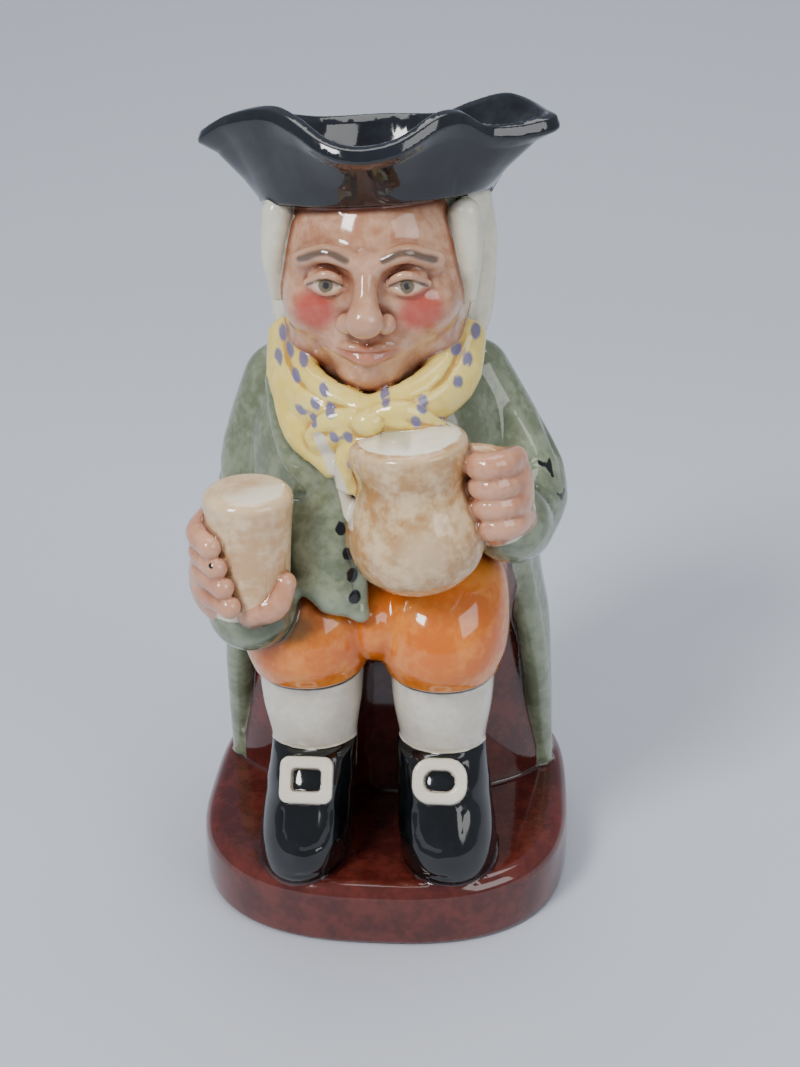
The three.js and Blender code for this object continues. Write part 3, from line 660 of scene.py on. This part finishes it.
def measure(p, paint=False):
    """The distance at each point; with paint, also each region's own distance and how far inside the bore it is."""
    reach, index = cubes_of(p)
    jobs, owners = [], []
    for k, form in enumerate(CLAY):
        there = np.nonzero(reach[k][index])[0]
        for s in range(0, len(there), CHUNK):
            jobs.append((form[3], p, there[s : s + CHUNK]))
            owners.append(form)
    regions = np.full((len(REGIONS), p.shape[1]), FAR, np.float32)
    for (_, _, there), (region, action, fillet, _, _), d in zip(jobs, owners, POOL.map(form_values, jobs)):
        row = regions[REGIONS.index(region)]
        if action == "add":
            row[there] = soft_min(row[there], d, fillet)
        elif action == "cut":
            row[there] = soft_max(row[there], -d, fillet)
        else:
            row[there] -= d
    inner = np.concatenate(list(POOL.map(bore, [p[:, s : s + CHUNK] for s in range(0, p.shape[1], CHUNK)])))
    whole = regions[0].copy()
    for name, row in zip(REGIONS[1:], regions[1:]):
        close = np.nonzero(row < FAR - 1)[0]
        if not len(close):
            continue
        whole[close] = soft_min(whole[close], row[close], JOIN.get(name, 1.5))
    shell = soft_max(whole, -inner, 2.0)
    return (shell, regions, -inner - whole) if paint else shell


def slope_of(p, step=0.35):
    """The direction in which the distance grows, and how fast, from the four corners of a small pyramid."""
    corners = np.float32([(1, -1, -1), (-1, -1, 1), (-1, 1, -1), (1, 1, 1)]) * np.float32(step)
    total = np.zeros_like(p)
    for corner in corners:
        total += measure(p + corner[:, None]) * corner[:, None]
    return total / (4 * step * step)


# %% Lay the net
import time

clock = time.time()
CELLS = 8
GRAIN = CUBE / CELLS
cast_low, cast_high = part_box("toby_jug")
low = np.floor(np.array([v * 1000 for v in cast_low]) / CUBE).astype(int) - 1
high = np.ceil(np.array([v * 1000 for v in cast_high]) / CUBE).astype(int) + 1
cubes = np.stack(np.meshgrid(*[np.arange(a, b) for a, b in zip(low, high)], indexing="ij"), -1).reshape(-1, 3)
centre = measure(((cubes + 0.5) * CUBE).astype(np.float32).T)
cubes = cubes[np.abs(centre) < 6.5]
offsets = np.stack(np.meshgrid(*[np.arange(CELLS + 1)] * 3, indexing="ij"), -1).reshape(-1, 3)


def measure_cubes(cubes):
    """The distance at every node of each cube. Cubes that share a node read the same value there."""
    values = []
    for s in range(0, len(cubes), 1500):
        nodes = (cubes[s : s + 1500, None, :] * CUBE + offsets[None] * GRAIN).reshape(-1, 3).astype(np.float32)
        values.append(measure(np.ascontiguousarray(nodes.T)).reshape(-1, CELLS + 1, CELLS + 1, CELLS + 1))
    return np.concatenate(values)


value = measure_cubes(cubes)
print(len(cubes), "cubes of clay near the surface", round(time.time() - clock, 1), "s")

# %% Add the cubes that the surface runs on into
while True:
    known = {tuple(c) for c in cubes.tolist()}
    wanted = set()
    for axis in range(3):
        for end, way in ((0, -1), (CELLS, 1)):
            wall = np.take(value, end, axis=axis + 1) < 0
            count = wall.reshape(len(wall), -1).sum(1)
            crossing = cubes[(count > 0) & (count < wall[0].size)].copy()
            crossing[:, axis] += way
            wanted |= {tuple(c) for c in crossing.tolist()}
    fresh = np.array(sorted(wanted - known))
    if not len(fresh):
        break
    cubes, value = np.concatenate([cubes, fresh]), np.concatenate([value, measure_cubes(fresh)])
print(len(cubes), "cubes in all", round(time.time() - clock, 1), "s")


# %% Put a vertex into each cell that the surface crosses
inside_clay = value < 0
corner = lambda a, i, j, k: a[:, i : i + CELLS, j : j + CELLS, k : k + CELLS]
CORNERS = [(i, j, k) for i in (0, 1) for j in (0, 1) for k in (0, 1)]
count_in = sum(corner(inside_clay, *c).astype(np.int8) for c in CORNERS)
crossed = np.argwhere((count_in > 0) & (count_in < 8))
total = np.zeros((len(crossed), 3))
hits = np.zeros(len(crossed))
b_, i_, j_, k_ = crossed.T
for axis in range(3):
    for c in CORNERS:
        if c[axis]:
            continue
        d = list(c)
        d[axis] = 1
        one = value[b_, i_ + c[0], j_ + c[1], k_ + c[2]]
        two = value[b_, i_ + d[0], j_ + d[1], k_ + d[2]]
        hit = (one < 0) != (two < 0)
        t = np.where(hit, one / np.where(hit, one - two, 1), 0)
        spot = np.repeat(np.float32([c]), len(one), 0)
        spot[:, axis] = t
        total[hit] += spot[hit]
        hits += hit
cell = cubes[b_] * CELLS + crossed[:, 1:]
points = np.ascontiguousarray(((cell + total / hits[:, None]) * GRAIN).astype(np.float32).T)
print("net of", points.shape[1], "vertices", round(time.time() - clock, 1), "s")

# %% Join four neighbouring vertices across each crossed edge
key_of = lambda c: ((c[:, 0] + 4096) * 8192 + c[:, 1] + 4096) * 8192 + c[:, 2] + 4096
keys = key_of(cell)
order = np.argsort(keys)
sorted_keys = keys[order]
quads = []
lost = 0
for axis in range(3):
    ahead = [0, 0, 0]
    ahead[axis] = 1
    one = value[b_, i_, j_, k_] < 0
    two = value[b_, i_ + ahead[0], j_ + ahead[1], k_ + ahead[2]] < 0
    hit = np.nonzero(one != two)[0]
    u, v = np.eye(3, dtype=int)[(axis + 1) % 3], np.eye(3, dtype=int)[(axis + 2) % 3]
    ring = []
    for shift in (-u - v, -v, 0 * u, -u):
        wanted = key_of(cell[hit] + shift)
        place = np.clip(np.searchsorted(sorted_keys, wanted), 0, len(keys) - 1)
        ring.append(np.where(sorted_keys[place] == wanted, order[place], -1))
    ring = np.stack(ring, 1)
    whole_ring = (ring >= 0).all(1)
    lost += int((~whole_ring).sum())
    outward = one[hit][whole_ring]
    ring = ring[whole_ring]
    quads.append(np.where(outward[:, None], ring, ring[:, ::-1]))
quads = np.concatenate(quads)
print("net of", len(quads), "faces,", lost, "lost", round(time.time() - clock, 1), "s")

# %% Slide the vertices onto the surface
def slide(points, most):
    """Moves each point along the slope to where the distance is zero, but by no more than most."""
    distance, slope = measure(points), slope_of(points)
    step = slope * (distance / np.maximum((slope * slope).sum(0), 0.2))
    return points - step / np.maximum(np.sqrt((step * step).sum(0)) / most, 1)


points = slide(points, 0.6 * GRAIN)
print("slid", round(time.time() - clock, 1), "s")


# %% Thin the net out and slide it back onto the surface
def mesh_of(name, vertices, faces):
    mesh = bpy.data.meshes.new(name)
    mesh.vertices.add(len(vertices))
    mesh.vertices.foreach_set("co", (vertices * MM).astype(np.float32).ravel())
    size = faces.shape[1]
    mesh.loops.add(faces.size)
    mesh.loops.foreach_set("vertex_index", faces.astype(np.int32).ravel())
    mesh.polygons.add(len(faces))
    mesh.polygons.foreach_set("loop_start", np.arange(0, faces.size, size, dtype=np.int32))
    mesh.update(calc_edges=True)
    mesh.validate()
    return mesh


jug = bpy.data.objects.new("toby_jug_glazed", mesh_of("toby_jug_glazed", points.T, quads))
bpy.context.scene.collection.objects.link(jug)
TRIANGLES = 190000
thin = jug.modifiers.new("thin", "DECIMATE")
thin.ratio = min(1.0, TRIANGLES / (2 * len(quads)))
bpy.context.view_layer.update()
thinned = bpy.data.meshes.new_from_object(jug.evaluated_get(bpy.context.evaluated_depsgraph_get()))
jug.modifiers.clear()
jug.data = thinned
thinned.name = "toby_jug_glazed"
place = np.empty(len(thinned.vertices) * 3, np.float32)
thinned.vertices.foreach_get("co", place)
points = slide(np.ascontiguousarray(place.reshape(-1, 3).T / np.float32(MM)), 0.2)
thinned.vertices.foreach_set("co", (points.T * MM).ravel())
normal = slope_of(points, 0.25)
normal /= np.maximum(np.sqrt((normal * normal).sum(0)), 1e-6)
thinned.shade_smooth()
thinned.normals_split_custom_set_from_vertices(normal.T)
print("thinned to", len(thinned.polygons), "triangles,", points.shape[1], "vertices", round(time.time() - clock, 1), "s")

# %% [markdown]
# ## Where each paint goes
# Each region's own distance is kept on the mesh, so the shader can draw the edge between two paints as a fine
# line that doesn't follow the faces. Hollows are found by comparing the distance a little way out in six
# directions: there the paint is darkened, which is painted shade together with the glaze pooling there, and on
# ridges the glaze runs thin.

# %% Region masks
whole, regions, bored = measure(points, paint=True)


def keep(name, values):
    layer = thinned.attributes.new(name, "FLOAT", "POINT")
    layer.data.foreach_set("value", np.clip(values, -4, 4).astype(np.float32))


below = regions[0].copy()
for name, row in zip(REGIONS[1:], regions[1:]):
    keep("is_" + name, below - row)
    below = np.minimum(below, row)
keep("is_inside", bored)


def hollowness(reach):
    total = -6 * whole
    for axis in np.eye(3, dtype=np.float32):
        for sign in (-1, 1):
            total = total + measure(points + (sign * reach * axis)[:, None])
    return total / reach


hollow_fine = hollowness(1.0)
hollow_wide = hollowness(2.4)
# How hollow each place is. The shader uses it to darken the hollows, which is painted shade together with pooled glaze,
# and to lighten the ridges where the glaze runs thin.
keep("pool_and_shade", -(hollow_fine * 0.6 + hollow_wide * 0.5))
print("pooling from", round(float((-hollow_fine).min()), 2), "to", round(float((-hollow_fine).max()), 2))
print("painted", round(time.time() - clock, 1), "s")


# %% Painted details
def brush(name, values):
    """A painted mark: how far each vertex is inside it, in mm."""
    keep("mark_" + name, values)


x, y, z = points
chair_edge = keyed([(20, 48), (42, 47), (72, 44.5), (108, 38)], z)[:, 0]
brush("chair", np.minimum.reduce([chair_edge - 1.0 - np.abs(x), 106 - z, 6 + (z > 0) * 6 - y]))
front = np.where(y < -8, 0.0, -9.0)


def spots(places, wide, tall, lean=0.4):
    """Leaning oval dabs at the given (x, z), seen from in front."""
    inside_ = np.full(len(x), -9.0)
    for cx, cz in places:
        u, v = x - cx + lean * (z - cz), z - cz
        inside_ = np.maximum(inside_, (1 - np.sqrt((u / wide) ** 2 + (v / tall) ** 2)) * min(wide, tall))
    return inside_ + front


def stroke(places, wide):
    """A brush line through (x, z) points, seen from in front."""
    line_ = path_through([(cx, cz, 0) for cx, cz in places], 14).astype(np.float32)
    flat = np.stack([x, z, np.zeros_like(x)])
    return wide / 2 - np.sqrt(nearest_on(line_, flat)[1]) + front


row_of = lambda name: regions[REGIONS.index(name)]
others = lambda name: np.min(np.delete(regions, REGIONS.index(name), axis=0), axis=0) - row_of(name)
DOTS = [(-24.5, 172.9), (-24.8, 168.6), (-21.7, 170.9), (-17.5, 169.9), (-19.1, 166.2), (-11.3, 164.4), (-13.6, 160.9),
        (-9.3, 160), (-14, 157), (4.6, 163.6), (14.2, 161.7), (12.7, 158.4), (-8.3, 153.7), (-4.7, 154), (-3.8, 146.6),
        (26.9, 173.1), (22, 171.1), (25, 168.4), (22.8, 164.4), (-18, 158.6), (18.6, 155)]  # fmt: skip
brush("dots", np.minimum(spots(DOTS, 1.3, 1.65, 0.25), others("scarf")))
brush("buttons", spots([(-7.6, 127.5), (-5.6, 120.8), (-4.6, 114.8), (-3.9, 108.8)], 1.5, 1.9, 0.1))
hem = 1.3 - np.abs(row_of("stocking") - row_of("breeches"))
brush("hem", np.minimum(hem, 3 - row_of("stocking")) - (y > -6) * 5)
shirt = [(-12.5, 153), (-9.6, 146), (-6.8, 139), (-5, 131)]
brush("shirt", stroke(shirt, 3.4) - (y > -25) * 5)
cheeks = np.maximum(*[5.5 - np.hypot(x - side * 13.6, (z - 184.6) * 1.1) for side in SIDES])
brush("cheeks", np.minimum(cheeks + front, others("skin") + 2))
brows = np.maximum(*[stroke(mirrored_xz, 1.7) for mirrored_xz in
                     [[(side * 4.6, 198.4), (side * 10, 200.4), (side * 17, 197.4)] for side in SIDES]])  # fmt: skip
lids = np.maximum(*[stroke(lid, 0.75) for lid in
                    [[(side * 5.2, 191.0), (side * 10.4, 193.2), (side * 15.2, 191.0)] for side in SIDES]])  # fmt: skip
irises = spots([(side * 10.2, 191.4) for side in SIDES], 1.9, 1.9, 0)
whites = np.maximum(*[3.9 - np.hypot(x - side * 10.2, (z - 191.4) * 2.3) for side in SIDES]) * 0.5 + front
brush("brows", brows)
brush("lids", lids)
brush("whites", whites)
brush("irises", np.minimum(irises, whites + 0.5))
brush("pupils", spots([(side * 10.2, 191.4) for side in SIDES], 0.9, 0.9, 0))
brush("lips", np.maximum(stroke([(-7, 174.8), (0, 175.4), (7, 174.8)], 2.2), stroke([(-6, 173.8), (0, 173), (6, 173.8)], 2.4)))


def sleeve_dab(cx, cy, cz):
    """A forked black dab on the sleeve, which faces half to the front and half to the side."""
    across, outwards = ((x - cx) + (y - cy)) * 0.707, ((x - cx) - (y - cy)) * 0.707
    flat = np.stack([across, z - cz, np.zeros_like(x)]).astype(np.float32)
    inside_ = -9.0
    for twig in ([(-2.2, 1.6, 0), (0, 0, 0), (2.4, 1, 0)], [(0, 0, 0), (0.4, -1.2, 0), (0.5, -2.4, 0)]):
        inside_ = np.maximum(inside_, 0.6 - np.sqrt(nearest_on(np.float32(twig), flat)[1]))
    return np.minimum(inside_, 5 - np.abs(outwards))


brush("stitches", np.maximum.reduce([sleeve_dab(*at) for at in [(46.6, -14.6, 135.6), (50.6, -16.9, 127.6), (51, -20.3, 121.6)]]))
brush("pinhole", spots([(-38.7, 125.3)], 0.7, 0.7, 0) - (y > -48) * 5)
head_foam = np.minimum(3.4 - np.abs(z - 142.6), 8.6 - np.hypot(x - b["x"] - 1, y - b["y"] + 1))
brush("froth", np.minimum(head_foam, others("beaker") + 1))
brush("black_mouth", z - 205)
# A darker sage patch on the coat just under the beaker's sleeve: painted shade.
brush("shade_under_sleeve", spots([(-27, 104), (-22, 99)], 7, 3.4, -0.3) - (y > -30) * 5)
brush("foam_stroke", stroke([(4, 154.6), (7.5, 155.6), (11, 155.2)], 1.6))
# A soft light patch on the front of the ale jug's belly: a painted highlight.
brush("belly_highlight", 6.5 - np.hypot(x - 15, z - 128) + front)


# %% [markdown]
# ## The glaze
# One clear glossy glaze covers every colour, so there is one material. Under it each colour is brushed on by
# hand: thinner and lighter where the brush ran dry or over a ridge, and darker in the hollows, which is painted
# shade together with the glaze pooling there.


# %% Node helpers
def group(name, inputs, outputs):
    tree = bpy.data.node_groups.new(name, "ShaderNodeTree")
    for label, kind, default in inputs:
        socket = tree.interface.new_socket(label, in_out="INPUT", socket_type=kind)
        if default is not None:
            socket.default_value = default
    for label, kind in outputs:
        tree.interface.new_socket(label, in_out="OUTPUT", socket_type=kind)
    return tree, tree.nodes.new("NodeGroupInput"), tree.nodes.new("NodeGroupOutput")


def node(tree, kind, **settings):
    made = tree.nodes.new("ShaderNode" + kind)
    inputs = settings.pop("inputs", {})
    for key, setting in settings.items():
        setattr(made, key, setting)
    for key, setting in inputs.items():
        if isinstance(setting, bpy.types.NodeSocket):
            tree.links.new(setting, made.inputs[key])
        else:
            made.inputs[key].default_value = setting
    return made


def math_node(tree, operation, *terms, clamp=False):
    return node(tree, "Math", operation=operation, use_clamp=clamp, inputs=dict(enumerate(terms))).outputs[0]


def blend_colour(tree, share, under, over, how="MIX"):
    made = node(tree, "Mix", data_type="RGBA", blend_type=how)
    for socket, setting in zip((made.inputs[0], made.inputs[6], made.inputs[7]), (share, under, over)):
        if isinstance(setting, bpy.types.NodeSocket):
            tree.links.new(setting, socket)
        else:
            socket.default_value = setting
    return made.outputs[2]


def ramp(tree, value, low, high, to_low=0.0, to_high=1.0):
    return node(tree, "MapRange", interpolation_type="SMOOTHSTEP",
                inputs={"Value": value, "From Min": low, "From Max": high, "To Min": to_low, "To Max": to_high}).outputs[0]  # fmt: skip


def noise(tree, place, scale, detail=3.0, stretch=None):
    if stretch:
        place = node(tree, "Mapping", inputs={"Vector": place, "Scale": stretch}).outputs[0]
    return node(tree, "TexNoise", inputs={"Vector": place, "Scale": scale, "Detail": detail}).outputs[0]


# %% Node group: brushed colour, darkened in the hollows with painted shade and pooled glaze
C, F = "NodeSocketColor", "NodeSocketFloat"
brushed, into, out = group(
    "Brushed colour with pooling and shade",
    [("Thin", C, None), ("Full", C, None), ("Pooled and shaded", C, None), ("Mottle", F, 0.5), ("Pool and shade", F, 0.0), ("Pooling and shade", F, 1.0)],
    [("Color", C)],
)
i = into.outputs
spread_ = ramp(brushed, i["Mottle"], 0.38, 0.6)
body = blend_colour(brushed, spread_, i["Thin"], i["Full"])
run_thin = ramp(brushed, i["Pool and shade"], 0.05, -1.1)
ridge_ = blend_colour(brushed, math_node(brushed, "MULTIPLY", run_thin, 0.6), body, i["Thin"])
# In the hollows the colour darkens towards the pooled and shaded colour: painted shade, together with the glaze pooling
# there.
deep = math_node(brushed, "MULTIPLY", ramp(brushed, i["Pool and shade"], 0.05, 1.4), i["Pooling and shade"], clamp=True)
brushed.links.new(blend_colour(brushed, deep, ridge_, i["Pooled and shaded"]), out.inputs["Color"])

# %% Material
glaze = bpy.data.materials.new("painted_glaze")
glaze.use_nodes = True
tree = glaze.node_tree
tree.nodes.clear()
place = node(tree, "TexCoord").outputs["Object"]
attribute = lambda name: node(tree, "Attribute", attribute_name=name).outputs["Fac"]
# The hollowness that darkens each paint in the hollows: painted shade together with pooled glaze.
pool_and_shade = attribute("pool_and_shade")
coarse = noise(tree, place, 95.0, 4.0)
fine = noise(tree, place, 420.0, 3.0)
mottle = math_node(tree, "ADD", math_node(tree, "MULTIPLY", coarse, 0.65), math_node(tree, "MULTIPLY", fine, 0.35))
wobble = math_node(tree, "MULTIPLY", math_node(tree, "SUBTRACT", noise(tree, place, 260.0, 2.0), 0.5), 0.5)


RICHNESS = 1.25  # glaze over paint reads deeper and stronger than the paint alone


def colour(r, g, b):
    """A colour as an eye reads it on a screen, 0 to 255, turned into light."""
    light = [((c / 255 + 0.055) / 1.055) ** 2.4 for c in (r, g, b)]
    return tuple(c**RICHNESS for c in light) + (1.0,)


PAINTS = {
    # region: thin, full, pooled, how strongly it pools
    "plinth": (colour(118, 60, 50), colour(94, 44, 37), colour(56, 28, 27), 0.7),
    "body": (colour(160, 168, 145), colour(128, 136, 112), colour(84, 92, 72), 0.75),
    "coat": (colour(160, 168, 145), colour(128, 136, 112), colour(84, 92, 72), 0.75),
    "handle": (colour(118, 60, 50), colour(94, 44, 37), colour(56, 28, 27), 0.7),
    "stocking": (colour(232, 226, 214), colour(220, 213, 198), colour(184, 174, 152), 0.6),
    "breeches": (colour(236, 158, 78), colour(220, 126, 44), colour(142, 64, 24), 0.95),
    "shoe": (colour(34, 38, 40), colour(20, 22, 24), colour(12, 12, 13), 0.8),
    "buckle": (colour(236, 230, 216), colour(226, 217, 199), colour(190, 176, 150), 0.6),
    "cuff": (colour(240, 232, 216), colour(230, 219, 200), colour(196, 178, 150), 0.6),
    "hair": (colour(236, 232, 214), colour(222, 219, 200), colour(160, 166, 150), 0.8),
    "skin": (colour(222, 182, 154), colour(198, 148, 116), colour(138, 80, 56), 0.95),
    "scarf": (colour(250, 232, 150), colour(244, 220, 122), colour(200, 150, 56), 0.8),
    "hand": (colour(222, 176, 148), colour(200, 146, 116), colour(134, 76, 54), 0.95),
    "beaker": (colour(238, 216, 182), colour(216, 180, 138), colour(168, 124, 80), 0.85),
    "ale_jug": (colour(232, 208, 170), colour(196, 154, 104), colour(146, 98, 56), 0.95),
    "foam": (colour(252, 246, 228), colour(246, 238, 216), colour(214, 200, 172), 0.5),
    "hat": (colour(44, 48, 56), colour(24, 26, 32), colour(16, 16, 18), 0.5),
}


def mask(name, soft=0.16):
    edge = math_node(tree, "ADD", attribute(name), wobble)
    return ramp(tree, edge, -soft, soft)


def painted(thin_, full, pooled_and_shaded, pooling_and_shade):
    made = node(tree, "Group", node_tree=brushed)
    for key, setting in (("Thin", thin_), ("Full", full), ("Pooled and shaded", pooled_and_shaded), ("Pooling and shade", pooling_and_shade)):
        made.inputs[key].default_value = setting
    tree.links.new(mottle, made.inputs["Mottle"])
    tree.links.new(pool_and_shade, made.inputs["Pool and shade"])
    return made.outputs["Color"]


paint = painted(*PAINTS["plinth"])
chair_paint = paint
for name in REGIONS[1:]:
    coat_of = painted(*PAINTS[name])
    if name == "body":
        coat_of = blend_colour(tree, mask("mark_chair"), coat_of, chair_paint)
    paint = blend_colour(tree, mask("is_" + name), paint, coat_of)
inside = painted(colour(240, 234, 220), colour(230, 222, 204), colour(200, 186, 160), 0.6)
inside = blend_colour(tree, mask("mark_black_mouth"), inside, PAINTS["hat"][1])
paint = blend_colour(tree, mask("is_inside"), paint, inside)
MARKS = [
    # mark, colour, softness of its edge in mm, strength
    # The dark patch under the beaker's sleeve is painted shade.
    # The light patch on the ale jug's belly is a painted highlight.
    ("shade_under_sleeve", colour(84, 90, 68), 1.6, 0.7), ("belly_highlight", colour(236, 218, 188), 3.5, 0.45),
    ("foam_stroke", colour(176, 178, 150), 0.7, 0.6),
    ("shirt", colour(238, 230, 212), 0.2, 1.0), ("froth", colour(252, 246, 226), 0.8, 0.9),
    ("dots", colour(124, 124, 168), 0.3, 0.9), ("buttons", colour(22, 24, 22), 0.2, 1.0),
    ("hem", colour(34, 30, 24), 0.3, 0.9), ("cheeks", colour(196, 66, 64), 2.2, 0.75),
    ("whites", colour(226, 208, 186), 0.4, 0.8), ("irises", colour(112, 104, 84), 0.25, 0.9),
    ("pupils", colour(40, 32, 28), 0.2, 1.0), ("lids", colour(74, 50, 40), 0.3, 0.85),
    ("brows", colour(92, 84, 76), 0.5, 0.85), ("lips", colour(190, 108, 92), 0.9, 0.6),
    ("stitches", colour(24, 26, 24), 0.2, 1.0), ("pinhole", colour(20, 16, 14), 0.2, 1.0),
]  # fmt: skip
for name, tint, soft, strength in MARKS:
    share = math_node(tree, "MULTIPLY", mask("mark_" + name, soft), strength)
    paint = blend_colour(tree, share, paint, tint)

ripple = noise(tree, place, 150.0, 2.0)
bump = node(tree, "Bump", inputs={"Strength": 0.12, "Distance": 0.0004, "Height": ripple}).outputs[0]
rough = ramp(tree, fine, 0.3, 0.7, 0.07, 0.13)
surface = node(tree, "BsdfPrincipled", inputs={"Base Color": paint, "Roughness": rough, "IOR": 1.5, "Normal": bump, "Coat Weight": 0.4, "Coat Roughness": 0.03})
output = node(tree, "OutputMaterial")
tree.links.new(surface.outputs[0], output.inputs[0])
thinned.materials.clear()
thinned.materials.append(glaze)
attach(jug, "root")
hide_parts("toby_jug")

# %% [markdown]
# ## Floor, light and camera
# The jug stands on plain pale paper that curves up behind it. A window-like soft light stands high on the left,
# so it lies as a bright mark on the glaze, and a wide soft light from the front fills the shadows.

# %% Floor
bend = np.linspace(0, math.pi / 2, 48)
curve = np.concatenate([[(-3.0, 0.0)], np.column_stack([0.5 + 2.6 * np.sin(bend), 2.6 * (1 - np.cos(bend))])])
verts = np.array([(sx, yy, zz) for yy, zz in curve for sx in (-4.0, 4.0)]) / MM
faces_ = np.array([(2 * i, 2 * i + 1, 2 * i + 3, 2 * i + 2) for i in range(len(curve) - 1)])
floor = bpy.data.objects.new("floor", mesh_of("floor", verts, faces_))
floor.data.shade_smooth()
bpy.context.scene.collection.objects.link(floor)
paper = bpy.data.materials.new("pale_paper")
paper.use_nodes = True
paper.node_tree.nodes["Principled BSDF"].inputs["Base Color"].default_value = colour(205, 209, 216)
paper.node_tree.nodes["Principled BSDF"].inputs["Roughness"].default_value = 0.6
floor.data.materials.append(paper)


# %% Lights
def soft_box(name, at, towards, size, watts, tint=(1, 1, 1)):
    data = bpy.data.lights.new(name, "AREA")
    data.shape, data.size, data.size_y, data.energy, data.color = "RECTANGLE", size[0], size[1], watts, tint
    lamp = bpy.data.objects.new(name, data)
    lamp.location = at
    lamp.rotation_euler = (Vector(towards) - Vector(at)).to_track_quat("-Z", "Y").to_euler()
    bpy.context.scene.collection.objects.link(lamp)
    return lamp


aim = (0, 0, 0.12)
soft_box("window_left", (-0.9, -1.2, 1.5), aim, (0.5, 0.7), 34)
soft_box("fill_right", (1.6, -1.2, 1.2), aim, (1.2, 1.2), 16)
soft_box("top", (0.1, 0.3, 1.9), aim, (1.6, 1.2), 20)
world = bpy.data.worlds.new("studio")
bpy.context.scene.world = world
world.use_nodes = True
world.node_tree.nodes["Background"].inputs[0].default_value = (0.80, 0.86, 1.0, 1)
world.node_tree.nodes["Background"].inputs[1].default_value = 0.38

# %% Camera
camera_data = bpy.data.cameras.new("camera")
camera = bpy.data.objects.new("camera", camera_data)
bpy.context.scene.collection.objects.link(camera)
camera.location = (0.0367, -0.4015, 0.2997)
look = (Vector((0.0022, -0.007, 0.115)) - camera.location).normalized()
camera.rotation_mode = "QUATERNION"
camera.rotation_quaternion = look.to_track_quat("-Z", "Y") @ Matrix.Rotation(math.radians(-1.0), 3, "Z").to_quaternion()
camera_data.sensor_width = 36
camera_data.lens = 1530 / 1067 * 36
camera_data.shift_x, camera_data.shift_y = 0.01125, -0.01265
camera_data.clip_start = 0.01
bpy.context.scene.camera = camera
